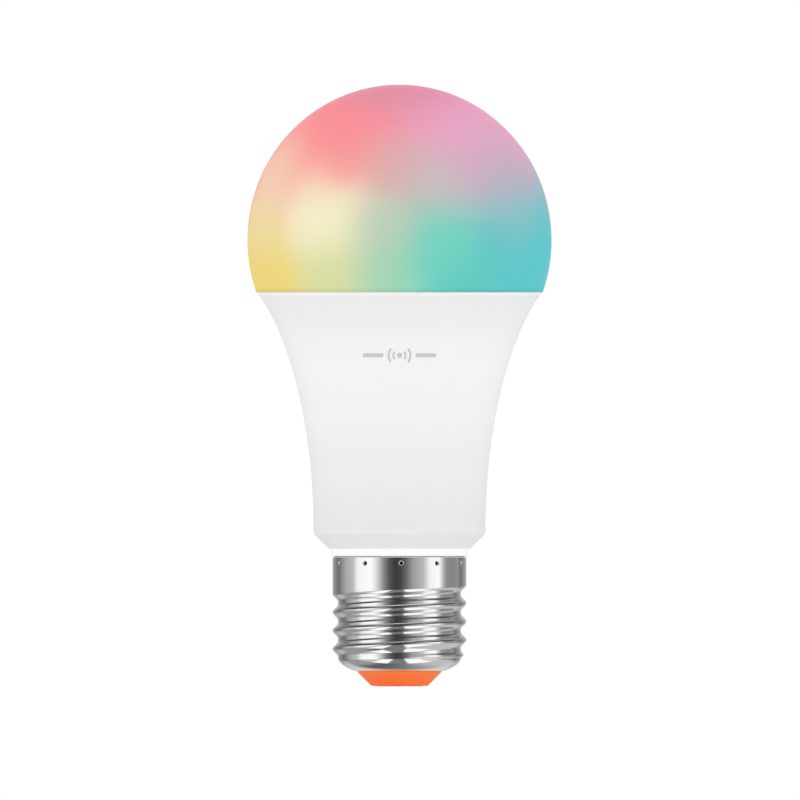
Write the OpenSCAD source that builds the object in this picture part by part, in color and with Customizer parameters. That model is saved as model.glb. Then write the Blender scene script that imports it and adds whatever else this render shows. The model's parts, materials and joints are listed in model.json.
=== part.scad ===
// Smart light bulb: a screw-cap lamp with an opal dome, a white plastic body over an
// aluminium heat cup, a ring of white and colour LEDs, a radio board and a mains driver.
// Millimetres. Origin at the centre of the end contact, +Z from the cap to the dome,
// the printed face of the body looks along -Y.

/* [Outside] */
// Height from the end contact to the top of the dome
overall_h = 118.7; // [112:0.1:124]
// Diameter of the dome at its widest
globe_d = 60; // [56:0.5:64]
// Height of the dome above its widest place
dome_rise = 30.7; // [28:0.1:33]
// Height of the parting line between dome and body
split_z = 77.8; // [77:0.1:79]
// Radius of the body at the parting line
rim_r = 28.3; // [27.6:0.1:28.6]
// Radius of the body at its waist
waist_r = 16.95; // [16.6:0.05:17.4]

/* [Walls] */
// Wall of the opal dome
dome_wall = 1.3; // [1:0.1:1.6]
// Wall of the plastic body
body_wall = 1.2; // [1:0.1:1.4]
// Sheet thickness of the aluminium heat cup
cup_wall = 0.8; // [0.6:0.1:1]

/* [Screw cap] */
// Outer radius of the thread's crest
crest_r = 13.2; // [13.05:0.05:13.2]
// Outer radius of the thread's root
root_r = 12.1; // [12:0.05:12.15]
// Rise of the thread in one turn
pitch = 3.629; // [3.6:0.001:3.65]
// Outer radius of the plain band above the thread
band_r = 13.2; // [13.1:0.05:13.3]
// Sheet thickness of the metal shell
shell_wall = 0.3; // [0.25:0.05:0.35]
// Number of punched crimps round the band
crimps = 11; // [8:1:14]

/* [Light] */
// Radius of the LED board
board_r = 22.5; // [22:0.25:22.5]
// Number of white LEDs, warm and cool in turn
white_leds = 14; // [10:2:16]
// Radius of the ring of white LEDs
white_ring_r = 19.6; // [19:0.1:20]
// Number of colour LEDs
colour_leds = 6; // [3:1:6]
// Radius of the ring of colour LEDs
colour_ring_r = 12.5; // [12:0.1:13]

/* [Driver] */
// Width of the driver board's upper part
driver_w = 26; // [24:0.5:27]
// Width of the driver board's tail, which stands in the neck
tail_w = 17; // [15:0.5:17]
// Thickness of the driver board
driver_t = 1.2; // [1:0.1:1.6]

/* [Hidden] */

$fn = 64;
gap = 0.05;                       // clearance between pieces that slide together

// ---- heights, from the end contact upwards
contact_proud = 0.1;              // end contact in front of the insulator
lip_z = 3.0;                      // bottom edge of the metal shell
lip_r = 8.4;                      // radius of the shell's bottom opening
curl_z = 5.4;                     // top of the shell's rounded bottom
curl_power = 1.5;                 // squareness of that rounded bottom
neck_z = 9.6;                     // bottom edge of the body's neck
thread_top_z = 21.7;              // top of the threaded part of the shell
band_top_z = 25.55;               // top edge of the shell
collar_foot_z = 25.75;            // bottom of the collar, with a thin gap below it
collar_z = 27.2;                  // top of the collar
waist_z = 31;                     // where the flare of the body starts
equator_z = overall_h - dome_rise;
globe_r = globe_d / 2;

// ---- body
neck_in_r = 10;                   // bore of the neck, where the driver's tail stands
neck_thread_r = root_r - shell_wall - 0.1;
neck_band_r = band_r - shell_wall - gap;
neck_step_z = [20.6, 21.2];       // where the neck widens from the thread to the band
neck_floor_z = 26.2;              // inside face of the chamfer, where the neck's bore starts
collar_r = 13.6;
chamfer_foot_r = 14;
chamfer_top = [16.6, 29.8];
flare_waist_pull = 24;            // how far the flare's curve follows the waist
flare_rim_pull = 5.4;             // how far it follows the slope at the rim
flare_rim_slope = 0.9;            // radius gained for each millimetre of height at the rim
flare_steps = 26;

// ---- light engine
cup_top_z = 72;                   // upper face of the heat cup
cup_foot_z = 34;
paste_t = 0.1;
board_t = 1.0;
led_z = cup_top_z + paste_t + board_t;
cup_window = [16, 9.4];           // opening in the cup for the radio board and the pins
cup_window_y = 0.3;
screw_ring_r = 14.5;
screws = 3;
screw_hole_r = 1.2;
white_led = [2.8, 3.5, 0.7];
colour_led = [5.0, 5.0, 1.4];
led_floor = 0.25;                 // floor of an LED's reflector cup

// ---- driver and radio boards, upright, thickness along Y
driver_y = 3.0;                   // front face of the driver board
driver_back = driver_y + driver_t;
driver_foot_z = 16;
driver_neck_z = 32.5;             // where the board widens above the neck
driver_top_z = 68;
radio_y = -1.5;
radio_t = 1.0;
radio_w = 12.6;
radio_z = 59.6;
radio_top_z = 81;
pin_w = 0.64;
led_pin_n = 5;
led_pin_step = 2.54;
led_pin_y = 1.7;
radio_pin_n = 6;
radio_pin_step = 2;
radio_pin_z = 61.3;

// ================= shared shapes =================

function bezier(p, t) = let (u = 1 - t)
    u * u * u * p[0] + 3 * u * u * t * p[1] + 3 * u * t * t * p[2] + t * t * t * p[3];

// The body's flare, from waist to rim, as [radius, height], taken in by some wall
flare_curve = [[waist_r, waist_z], [waist_r, waist_z + flare_waist_pull],
               [rim_r - flare_rim_slope * flare_rim_pull, split_z - flare_rim_pull],
               [rim_r, split_z]];
function flare(inset = 0, from = 0, to = 1, steps = flare_steps) =
    [for (i = [0 : steps]) bezier(flare_curve, from + (to - from) * i / steps) - [inset, 0]];

// Place along the flare at a height, by halving
function flare_at(z, lo = 0, hi = 1, n = 18) = n == 0 ? (lo + hi) / 2 :
    let (mid = (lo + hi) / 2)
    bezier(flare_curve, mid)[1] < z ? flare_at(z, mid, hi, n - 1) : flare_at(z, lo, mid, n - 1);

// The dome's outline from a height up to the axis, taken in by some wall
function dome(from_z, inset = 0, steps = 30) =
    let (a = globe_r - inset, b = dome_rise - inset, start = asin((from_z - equator_z) / b))
    [for (i = [0 : steps]) let (t = start + (90 - start) * i / steps)
        [i == steps ? 0 : a * cos(t), equator_z + b * sin(t)]];

module revolve(points) { rotate_extrude($fn = 96) polygon(points); }

module ring(r_out, r_in, z, h) {
    translate([0, 0, z]) difference() {
        cylinder(r = r_out, h = h);
        translate([0, 0, -1]) cylinder(r = r_in, h = h + 2);
    }
}

module block(size, at) { translate(at - [size[0] / 2, size[1] / 2, 0]) cube(size); }

module round_ring(n, r, start = 0) {
    for (i = [0 : n - 1]) rotate(start + 360 * i / n) translate([r, 0, 0]) children();
}

// A cylinder along Y from y0 to y1
module along_y(r, y0, y1, x, z) {
    translate([x, y1, z]) rotate([90, 0, 0]) cylinder(r = r, h = y1 - y0);
}

// A round wire swept along a list of points, or a sleeve if it has a bore. The cross
// direction is carried from point to point, so the sweep doesn't twist.
function unit(v) = v / norm(v);
function tangent(p, i) = unit(p[min(i + 1, len(p) - 1)] - p[max(i - 1, 0)]);
function square_to(v, t) = unit(v - (v * t) * t);
function carried(p, side) = [for (i = 0, u = square_to(side, tangent(p, 0)); i < len(p);
    i = i + 1, u = i < len(p) ? square_to(u, tangent(p, i)) : u) u];
function ring_points(at, t, u, r, n) = let (v = cross(t, u))
    [for (k = [0 : n - 1]) at + r * (cos(360 * k / n) * u + sin(360 * k / n) * v)];
function skin(first, rings, n, inward) = [for (i = [0 : rings - 2], k = [0 : n - 1])
    let (a = first + i * n + k, b = first + i * n + (k + 1) % n)
    inward ? [a, b, b + n, a + n] : [a, a + n, b + n, b]];
module wire(p, r, side, bore = 0, n = 8) {
    rings = len(p);
    u = carried(p, side);
    outer = [for (i = [0 : rings - 1]) each ring_points(p[i], tangent(p, i), u[i], r, n)];
    inner = bore == 0 ? [] :
        [for (i = [0 : rings - 1]) each ring_points(p[i], tangent(p, i), u[i], bore, n)];
    m = rings * n;
    last = m - n;
    ends = bore == 0 ?
        [[for (k = [0 : n - 1]) k], [for (k = [n - 1 : -1 : 0]) last + k]] :
        [for (k = [0 : n - 1]) let (b = (k + 1) % n)
            each [[k, b, m + b, m + k], [last + b, last + k, m + last + k, m + last + b]]];
    walls = concat(skin(0, rings, n, false), bore == 0 ? [] : skin(m, rings, n, true));
    polyhedron(concat(outer, inner), concat(walls, ends), convexity = 6);
}

// A smooth curve through hand-placed points
function spline_point(a, b, c, d, t) = 0.5 * ((2 * b) + (c - a) * t
    + (2 * a - 5 * b + 4 * c - d) * t * t + (3 * b - a - 3 * c + d) * t * t * t);
function spline(p, steps = 4) = concat([for (i = [0 : len(p) - 2], s = [0 : steps - 1])
    spline_point(p[max(i - 1, 0)], p[i], p[i + 1], p[min(i + 2, len(p) - 1)], s / steps)],
    [p[len(p) - 1]]);

// ================= dome, body and heat cup =================

skirt_out_r = 25.5;
skirt_in_r = 24.3;
skirt_z = 74.9;
seat_z = split_z - 0.05;          // face of the body's rim that carries the dome
snap_z = 75.9;
snap_r = 25.85;
snaps = 4;
snap_angle = 34;
seal_r = [26.4, 27.2];
seal_depth = 0.4;

module diffuser() {
    inner = dome(split_z + 1.5, dome_wall);
    outer = dome(split_z + 0.1);
    color("white", 0.9) union() {
        revolve(concat(
            [[skirt_in_r, skirt_z], [skirt_out_r - 0.3, skirt_z], [skirt_out_r, skirt_z + 0.3],
             [skirt_out_r, seat_z], [outer[0][0] - 0.35, seat_z]],
            outer,
            [for (i = [len(inner) - 1 : -1 : 0]) inner[i]],
            [[skirt_in_r, split_z + 0.6]]));
        // snap beads on the skirt
        for (i = [0 : snaps - 1]) rotate(360 * i / snaps + 45 - snap_angle / 2)
            rotate_extrude(angle = snap_angle, $fn = 96)
                polygon([[skirt_out_r - 0.4, snap_z - 0.4], [skirt_out_r, snap_z - 0.4],
                         [snap_r, snap_z - 0.05], [snap_r, snap_z + 0.05],
                         [skirt_out_r, snap_z + 0.4], [skirt_out_r - 0.4, snap_z + 0.4]]);
    }
}

module seal_ring() {
    color("gainsboro") ring(seal_r[1] - gap, seal_r[0] + gap, seat_z - seal_depth + gap,
                            seal_depth - gap);
}

module housing() {
    step_r = skirt_out_r + gap;
    step_z = 75.0;
    low = flare(body_wall, 0, flare_at(step_z - 0.5));
    rail = [2.4, 1.0, 9.5];
    rail_x = 9.1;
    rail_foot_z = 18;
    wire_slot = [1.0, 1.0, 7];
    color("whitesmoke") difference() {
        union() {
            revolve(concat(
                [[neck_in_r, neck_z], [neck_thread_r, neck_z], [neck_thread_r, neck_step_z[0]],
                 [neck_band_r, neck_step_z[1]], [neck_band_r, collar_foot_z],
                 [collar_r, collar_foot_z],
                 [collar_r, collar_z], [chamfer_foot_r, collar_z], chamfer_top,
                 chamfer_top + [0.2, 0.3]],
                flare(0),
                [[rim_r - 0.15, seat_z], [step_r, seat_z], [step_r, step_z]],
                [for (i = [len(low) - 1 : -1 : 0]) low[i]],
                [[neck_in_r, neck_floor_z]]));
            // rails that hold the driver board's tail
            for (side = [-1, 1], y = [driver_y - rail[1] / 2 - gap, driver_back + rail[1] / 2 + gap])
                block(rail, [side * rail_x, y, rail_foot_z]);
        }
        ring(seal_r[1], seal_r[0], seat_z - seal_depth, 1);
        // groove that takes the dome's snap beads
        revolve([[step_r - 0.1, snap_z - 0.5], [step_r, snap_z - 0.5], [snap_r + gap, snap_z - 0.1],
                 [snap_r + gap, snap_z + 0.1], [step_r, snap_z + 0.5], [step_r - 0.1, snap_z + 0.5]]);
        // slot outside the neck for the bare end of the neutral wire
        translate([-neck_thread_r - 0.1, -wire_slot[1] / 2, neck_z - 1]) cube(wire_slot);
    }
}

module heat_cup() {
    boss_r = 2.1;
    boss_z = 68.2;
    inset = body_wall + gap;
    from = flare_at(cup_foot_z);
    to = flare_at(cup_top_z - 0.6);
    outside = flare(inset, from, to, 18);
    inside_top = flare_at(cup_top_z - cup_wall - 1);
    inside = flare(inset + cup_wall, from, inside_top, 18);
    top_r = outside[len(outside) - 1][0];
    color("silver") difference() {
        union() {
            revolve(concat(outside, [[top_r - 0.5, cup_top_z], [0, cup_top_z],
                                     [0, cup_top_z - 1], [inside[len(inside) - 1][0] - 0.5,
                                     cup_top_z - 1]],
                           [for (i = [len(inside) - 1 : -1 : 0]) inside[i]]));
            round_ring(screws, screw_ring_r)
                translate([0, 0, boss_z]) cylinder(r = boss_r, h = cup_top_z - 0.5 - boss_z);
        }
        round_ring(screws, screw_ring_r) cylinder(r = screw_hole_r, h = 100);
        block([cup_window[0], cup_window[1], 10], [0, cup_window_y, cup_top_z - 5]);
    }
}

// ================= screw cap =================

thread_z0 = 9.18;                 // height of a crest on the +X side
thread_back = 90;                 // direction in which the thread runs out, degrees
last_crest = 2;                   // turns from thread_z0 to the crest that meets the band
crest_to_band = 0.8;              // height in which that crest falls to the band
join_inset = 0.05;                // thread's end below the surfaces of the band's wall
fade_angle = 80;
start_fade = 1.2;                 // height in which the thread grows out of the root
crest_power = 1.3;                // 1 is an even wave, more makes narrower crests
shell_sides = 48;
shell_step = 0.45;
curl_rows = 6;

function smooth(t) = let (c = min(max(t, 0), 1)) c * c * (3 - 2 * c);
function mod(a, b) = a - b * floor(a / b);

// Outer radius of the shell at a height and a direction: a round helical wave that
// starts from the root at the bottom and runs out into the plain band at the top.
// The thread's end stays inside the band's own wall, where the two are joined.
function shell_r(z, a) =
    let (turn = mod(a - thread_back, 360),
         s = (z - thread_z0 - pitch * thread_back / 360) / pitch - turn / 360,
         wave = pow((1 + cos(360 * s)) / 2, crest_power),
         depth = crest_r - root_r,
         kept = smooth((360 - turn) / fade_angle),
         low = root_r + depth * wave * smooth((z - curl_z) / start_fade),
         groove = s < last_crest ? depth * (1 - wave) * kept : 0,
         drop = (1 - kept) * smooth((s - last_crest + 1) * pitch / crest_to_band)
              + kept * smooth((s - last_crest) * pitch / crest_to_band))
    s < last_crest - 1 ? low : crest_r - groove - (crest_r - band_r + join_inset) * drop;
function shell_wall_at(z) = shell_wall - 2 * join_inset * smooth(z - thread_top_z + 2);

// Outer radius at each row of the rounded bottom, from the lip upwards
function curl(t) = [lip_r + (root_r - lip_r) * pow(sin(90 * t), 2 / curl_power),
                    curl_z - (curl_z - lip_z) * pow(cos(90 * t), 2 / curl_power)];

module screw_shell() {
    n = shell_sides;
    tall_rows = ceil((thread_top_z - curl_z) / shell_step);
    rows = curl_rows + tall_rows + 1;
    // [height, radius] of a row, on the outside or, with the wall taken off, inside
    function row_z(i) = i <= curl_rows ? curl(i / curl_rows)[1]
        : curl_z + (thread_top_z - curl_z) * (i - curl_rows) / tall_rows;
    function row_r(i, a) = i <= curl_rows ? curl(i / curl_rows)[0] : shell_r(row_z(i), a);
    function wall_r(i) = i <= curl_rows ? shell_wall * sin(90 * i / curl_rows)
        : shell_wall_at(row_z(i));
    function wall_z(i) = i <= curl_rows ? shell_wall * cos(90 * i / curl_rows) : 0;
    points = concat(
        [for (i = [0 : rows - 1], k = [0 : n - 1]) let (a = 360 * k / n, r = row_r(i, a))
            [r * cos(a), r * sin(a), row_z(i)]],
        [for (i = [0 : rows - 1], k = [0 : n - 1])
            let (a = 360 * k / n, r = row_r(i, a) - wall_r(i))
            [r * cos(a), r * sin(a), row_z(i) + wall_z(i)]]);
    m = rows * n;
    faces = concat(
        [for (i = [0 : rows - 2], k = [0 : n - 1])
            let (a = i * n + k, b = i * n + (k + 1) % n) each [[a, a + n, b], [b, a + n, b + n]]],
        [for (i = [0 : rows - 2], k = [0 : n - 1])
            let (a = m + i * n + k, b = m + i * n + (k + 1) % n)
            each [[a, b, a + n], [b, b + n, a + n]]],
        [for (k = [0 : n - 1]) let (b = (k + 1) % n) each [[k, b, m + k], [b, m + b, m + k]]],
        [for (k = [0 : n - 1]) let (a = (rows - 1) * n + k, b = (rows - 1) * n + (k + 1) % n)
            each [[a, m + a, b], [b, m + a, m + b]]]);
    join_h = 0.3;
    dent_r = 0.6;
    dent_depth = 0.2;
    dent_z = 24.3;
    first_crimp = 1.6;            // degrees from the front
    color("silver") union() {
        polyhedron(points, faces, convexity = 10);
        difference() {
            ring(band_r, band_r - shell_wall, thread_top_z - join_h,
                 band_top_z - thread_top_z + join_h);
            round_ring(crimps, band_r + dent_r - dent_depth, first_crimp - 90)
                translate([0, 0, dent_z]) sphere(r = dent_r, $fn = 24);
        }
    }
}

module cap_insulator() {
    shank_r = 1.0;
    pocket_r = 4.7;
    color("darkorange") difference() {
        revolve([[0, contact_proud], [5.55, contact_proud], [lip_r - 0.1, lip_z - 0.15],
                 [lip_r - 0.1, lip_z + 0.45], [9.1, 3.5], [9.9, 3.9], [10.3, 4.25], [10.3, 5.2],
                 [4.6, 5.2], [3.2, 6.0], [2.8, 9.2], [0, 9.2]]);
        translate([0, 0, -1]) cylinder(r = pocket_r, h = 1 + 0.45);
        translate([0, 0, -1]) cylinder(r = shank_r, h = 20);
    }
}

module centre_contact() {
    head_r = 4.6;
    color("lightgray")
        revolve([[0, 0], [head_r - 0.25, 0], [head_r, 0.12], [head_r, 0.42], [0.98, 0.42],
                 [0.98, 7.4], [0.5, 8.4], [0, 8.4]]);
}

// ================= light engine =================

module board_openings(h) {
    round_ring(screws, screw_ring_r) cylinder(r = screw_hole_r, h = h);
    block([radio_w + 0.6, radio_t + 0.6, h], [0, radio_y + radio_t / 2, 0]);
    for (i = [0 : led_pin_n - 1])
        translate([(i - (led_pin_n - 1) / 2) * led_pin_step, led_pin_y, 0])
            cylinder(r = 0.5, h = h, $fn = 24);
}

module led_board() {
    color("white") difference() {
        translate([0, 0, cup_top_z + paste_t]) cylinder(r = board_r, h = board_t);
        translate([0, 0, cup_top_z - 1]) board_openings(5);
    }
}

module thermal_paste() {
    color("lightgray") difference() {
        translate([0, 0, cup_top_z]) cylinder(r = board_r - 1, h = paste_t);
        round_ring(screws, screw_ring_r) cylinder(r = screw_hole_r + 1.2, h = 100);
        block([cup_window[0] + 1, cup_window[1] + 1, 10], [0, cup_window_y, cup_top_z - 5]);
    }
}

module led_board_screws() {
    head = [2.2, 1.5];
    color("silver") round_ring(screws, screw_ring_r) translate([0, 0, led_z]) difference() {
        union() {
            translate([0, 0, -6]) cylinder(r = screw_hole_r - 0.05, h = 6 + 0.1, $fn = 32);
            rotate_extrude($fn = 32) polygon([[0, 0], [head[0], 0], [head[0], 0.6],
                [head[0] * 0.86, 1.1], [head[0] * 0.5, head[1] - 0.05], [0, head[1]]]);
        }
        for (a = [0, 90]) rotate(a) block([2.6, 0.5, 2], [0, 0, 0.7]);
    }
}

// An LED's white case with a tapered well, and what fills the well
module led_well(size, margin) {
    block([size[0] - 2 * margin, size[1] - 2 * margin, size[2]], [0, 0, led_floor]);
}
module led_fill(size, margin) {
    block([size[0] - 2 * margin - 0.02, size[1] - 2 * margin - 0.02, size[2] - led_floor - 0.06],
          [0, 0, led_floor]);
}

module white_led_cases() {
    color("ivory") round_ring(white_leds, white_ring_r, 180 / white_leds)
        translate([0, 0, led_z]) difference() {
            block(white_led, [0, 0, 0]);
            led_well(white_led, 0.35);
        }
}

module white_fill(first) {
    for (i = [first : 2 : white_leds - 1]) rotate(180 / white_leds + 360 * i / white_leds)
        translate([white_ring_r, 0, led_z]) led_fill(white_led, 0.35);
}
module warm_phosphor() { color("orange") white_fill(0); }
module cool_phosphor() { color("yellow") white_fill(1); }

module colour_led_cases() {
    color("white") round_ring(colour_leds, colour_ring_r, 30)
        translate([0, 0, led_z]) difference() {
            block(colour_led, [0, 0, 0]);
            translate([0, 0, led_floor]) cylinder(r = 2.0, h = 3);
        }
}

module colour_led_lenses() {
    color("lightcyan") round_ring(colour_leds, colour_ring_r, 30)
        translate([0, 0, led_z + led_floor])
            cylinder(r = 1.98, h = colour_led[2] - led_floor - 0.06);
}

function led_pin_x(i) = (i - (led_pin_n - 1) / 2) * led_pin_step;

module led_pin_header() {
    color("dimgray") difference() {
        block([led_pin_n * led_pin_step, 2.5, 2.5], [0, led_pin_y, 65]);
        for (i = [0 : led_pin_n - 1])
            block([pin_w + 0.02, pin_w + 0.02, 5], [led_pin_x(i), led_pin_y, 64]);
    }
}

// Straight pins that turn back through the driver board at their lower ends
module led_pins() {
    foot_z = 64;
    color("gold") for (i = [0 : led_pin_n - 1]) {
        block([pin_w, pin_w, led_z + 1.0 - foot_z], [led_pin_x(i), led_pin_y, foot_z]);
        translate([led_pin_x(i) - pin_w / 2, led_pin_y - pin_w / 2, foot_z])
            cube([pin_w, driver_back + 1 - led_pin_y, pin_w]);
    }
}

module led_pin_solder() {
    color("silver") for (i = [0 : led_pin_n - 1]) translate([led_pin_x(i), led_pin_y, led_z])
        difference() {
            cylinder(r1 = 0.95, r2 = 0.55, h = 0.7, $fn = 24);
            block([pin_w + 0.02, pin_w + 0.02, 3], [0, 0, -1]);
        }
}

// ================= radio board =================

function radio_pin_x(i) = (i - (radio_pin_n - 1) / 2) * radio_pin_step;

module radio_board() {
    color("darkslateblue") difference() {
        block([radio_w, radio_t, radio_top_z - radio_z], [0, radio_y + radio_t / 2, radio_z]);
        for (i = [0 : radio_pin_n - 1])
            block([0.54, 9, 0.54], [radio_pin_x(i), 0, radio_pin_z - 0.27]);
    }
}

module radio_shield() {
    can = [10.4, 1.7, 7.4];
    color("silver") block(can, [0, radio_y - can[1] / 2, radio_pin_z + 2]);
}

// A meander of copper above the LED board, standing proud of the radio board
module radio_antenna() {
    trace = [0.6, 0.05];
    low = 75.2;
    high = 80.2;
    runs = 8;
    step = 1.4;
    x0 = -(runs - 1) * step / 2;
    color("goldenrod") translate([0, radio_y - trace[1], 0]) {
        for (i = [0 : runs - 1])
            translate([x0 + i * step - trace[0] / 2, 0, i == 0 ? 72 : low])
                cube([trace[0], trace[1], high - (i == 0 ? 72 : low)]);
        for (i = [0 : runs - 2])
            translate([x0 + i * step, 0, (i % 2 == 0 ? high : low + trace[0]) - trace[0]])
                cube([step, trace[1], trace[0]]);
    }
}

module radio_spacer() {
    color("dimgray") difference() {
        block([radio_pin_n * radio_pin_step, 2.2, 2], [0, 0.7, radio_pin_z - 1]);
        for (i = [0 : radio_pin_n - 1])
            block([0.52, 9, 0.52], [radio_pin_x(i), 0, radio_pin_z - 0.26]);
    }
}

module radio_pins() {
    color("gold") for (i = [0 : radio_pin_n - 1])
        translate([radio_pin_x(i) - 0.25, radio_y - 0.8, radio_pin_z - 0.25])
            cube([0.5, driver_back + 0.8 - (radio_y - 0.8), 0.5]);
}

// ================= driver board and its parts =================

input_cap = [4, 12, 14.6, -2.6];  // radius, length, foot height, y of its axis
output_cap = [4, 10, -11, 61.5];  // radius, length, x and z of its axis
choke_z = 38;
varistor_at = [-10.2, 38.5];
film_at = [9.6, 33.4];
transformer_z = 51;
transformer_y = -3.4;

module lead_holes() {
    for (i = [0 : led_pin_n - 1]) block([0.9, 9, 0.9], [led_pin_x(i), 3, 64 + pin_w / 2 - 0.45]);
    for (i = [0 : radio_pin_n - 1])
        block([0.7, 9, 0.7], [radio_pin_x(i), 3, radio_pin_z - 0.35]);
    for (x = [-1.75, 1.75]) {
        along_y(0.45, 0, 9, x, 29.4);
        along_y(0.45, 0, 9, output_cap[2] + x, output_cap[3]);
        along_y(0.45, 0, 9, x * 1.2, choke_z);
    }
    for (z = [-2.5, 2.5]) {
        along_y(0.45, 0, 9, varistor_at[0], varistor_at[1] + z);
        along_y(0.45, 0, 9, film_at[0], film_at[1] + 5 + z * 1.4);
    }
    for (x = [-5, -2.5, 2.5, 5], z = [-1, 1]) along_y(0.45, 0, 9, x, transformer_z + z * 7.6);
    along_y(0.5, 0, 9, 6, 25.5);
    along_y(0.6, 0, 9, -6.6, 19);
}

module driver_board() {
    color("darkgreen") difference() {
        translate([0, driver_back, 0]) rotate([90, 0, 0]) linear_extrude(driver_t) polygon([
            [-tail_w / 2, driver_foot_z], [tail_w / 2, driver_foot_z],
            [tail_w / 2, driver_neck_z - 3], [driver_w / 2, driver_neck_z + 1.5],
            [driver_w / 2, driver_top_z], [-driver_w / 2, driver_top_z],
            [-driver_w / 2, driver_neck_z + 1.5], [-tail_w / 2, driver_neck_z - 3]]);
        lead_holes();
    }
}

// An aluminium can in its sleeve, with a rounded crimp near its open end, along +Z
module can(r, h) {
    rotate_extrude($fn = 48) polygon(concat(
        [[0, 0.6], [r - 0.5, 0.6], [r - 0.5, 0], [r, 0.3], [r, 1.3], [r - 0.35, 1.8], [r, 2.3]],
        [for (t = [0 : 15 : 90]) [r - 0.5 + 0.5 * cos(t), h - 0.5 + 0.5 * sin(t)]],
        [[0, h]]));
}
module bung(r) { translate([0, 0, 0.1]) cylinder(r = r - 0.55, h = 0.45); }
// The input capacitor stands head down in the neck, the output one lies along -Y
module place_input() {
    translate([0, input_cap[3], input_cap[2] + input_cap[1]]) mirror([0, 0, 1]) children();
}
module place_output() {
    translate([output_cap[2], 2.0, output_cap[3]]) rotate([90, 0, 0]) children();
}

module input_capacitor() { color("black") place_input() can(input_cap[0], input_cap[1]); }
module output_capacitor() {
    color("midnightblue") place_output() can(output_cap[0], output_cap[1]);
}
module capacitor_bungs() {
    color("dimgray") {
        place_input() bung(input_cap[0]);
        place_output() bung(output_cap[0]);
    }
}
module capacitor_leads() {
    top = input_cap[2] + input_cap[1];
    color("silver") {
        for (x = [-1.75, 1.75]) {
            wire(spline([[x, input_cap[3], top - 0.05], [x, input_cap[3], top + 1.2],
                         [x, input_cap[3] + 1.4, top + 2.7], [x, driver_y, 29.4],
                         [x, driver_back + 0.9, 29.4]], 3), 0.3, [1, 0, 0]);
            along_y(0.3, 1.95, driver_back + 0.9, output_cap[2] + x, output_cap[3]);
        }
    }
}

module film_capacitor() {
    case = [4.4, 8.6, 10];
    color("gold") union() {
        translate([film_at[0] - case[0] / 2, driver_y - 0.4 - case[1], film_at[1]]) cube(case);
        for (z = [-3.5, 3.5]) along_y(0.3, driver_y - 0.5, driver_back + 0.9, film_at[0],
                                      film_at[1] + 5 + z);
    }
}

module varistor() {
    disc = [3.6, 3.2];
    x = varistor_at[0];
    z = varistor_at[1];
    color("steelblue") union() {
        translate([x - disc[1] / 2, driver_y - 5.2, z]) rotate([0, 90, 0])
            rotate_extrude($fn = 48) polygon([[0, 0], [disc[0] - 0.8, 0], [disc[0], 0.8],
                [disc[0], disc[1] - 0.8], [disc[0] - 0.8, disc[1]], [0, disc[1]]]);
        for (s = [-2.5, 2.5]) along_y(0.3, driver_y - 3.6, driver_back + 0.9, x, z + s);
    }
}

fuse_at = [6.0, -4.6];
fuse_z = [13.4, 22.4];
module fuse_resistor() {
    tail = [[fuse_at[0], fuse_at[1], fuse_z[1] - 0.3], [fuse_at[0], fuse_at[1], 24],
            [6, -2.2, 25.6], [6, driver_y, 25.5], [6, driver_back + 0.9, 25.5]];
    color("seagreen") union() {
        translate([fuse_at[0], fuse_at[1], fuse_z[0]]) rotate_extrude($fn = 32) polygon([
            [0, 0], [1.2, 0], [1.5, 0.5], [1.5, 1.6], [1.25, 2.2], [1.25, 6.8], [1.5, 7.4],
            [1.5, 8.5], [1.2, 9], [0, 9]]);
        wire(spline(tail, 3), 0.3, [1, 0, 0]);
    }
}
module fuse_sleeve() {
    color("white") translate([fuse_at[0], fuse_at[1], 12.6]) difference() {
        cylinder(r = 1.85, h = 10.4, $fn = 32);
        translate([0, 0, -1]) cylinder(r = 1.55, h = 13, $fn = 32);
    }
}

// A moulded chip with its legs in two rows along Z, on the back of the board
module chip_body(size, x, z) {
    translate([x - size[0] / 2, driver_back + 0.15, z]) cube([size[0], size[1], size[2]]);
}
module gull_legs(n, step, body_w, x, z) {
    for (side = [-1, 1], i = [0 : n - 1])
        translate([x + side * (body_w / 2 + 0.45) - 0.45, driver_back, z + i * step - 0.2]) {
            cube([0.9, 0.15, 0.4]);
            translate([side > 0 ? 0 : 0.7, 0, 0]) cube([0.2, 0.9, 0.4]);
        }
}
bridge_at = [0, 21.5];
power_at = [-9.2, 42.2];
dimmer_at = [4, 47.2];
module bridge_rectifier() { color("black") chip_body([3.9, 2.4, 4.8], bridge_at[0], bridge_at[1]); }
module power_chip() { color("black") chip_body([3.9, 1.5, 4.9], power_at[0], power_at[1]); }
module dimmer_chip() { color("black") chip_body([3.9, 1.5, 9.9], dimmer_at[0], dimmer_at[1]); }
module chip_leads() {
    color("silver") {
        gull_legs(2, 2.54, 3.9, bridge_at[0], bridge_at[1] + 1.13);
        gull_legs(4, 1.27, 3.9, power_at[0], power_at[1] + 0.54);
        gull_legs(8, 1.27, 3.9, dimmer_at[0], dimmer_at[1] + 0.5);
    }
}

// Small parts on the back of the board, each as [x, z]
resistor_spots = [for (i = [0 : 5]) [-10.5 + 2.2 * (i % 3), 48 + 3 * floor(i / 3)],
                  for (i = [0 : 2]) [11.6, 38 + 2.4 * i]];
cap_spots = [for (i = [0 : 3]) [-10 + 2.6 * i, 54.4]];
diode_spots = [[4, 40], [4, 44], [-5, 35.2]];
module chip_resistors() {
    color("dimgray") for (p = resistor_spots) block([1.25, 0.5, 2], [p[0], driver_back + 0.25, p[1]]);
}
module chip_capacitors() {
    color("tan") for (p = cap_spots) block([1.6, 1.0, 2.4], [p[0], driver_back + 0.5, p[1]]);
}
module diodes() {
    color("black") for (p = diode_spots) block([4.4, 2.1, 2.6], [p[0], driver_back + 1.05, p[1]]);
}

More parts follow.
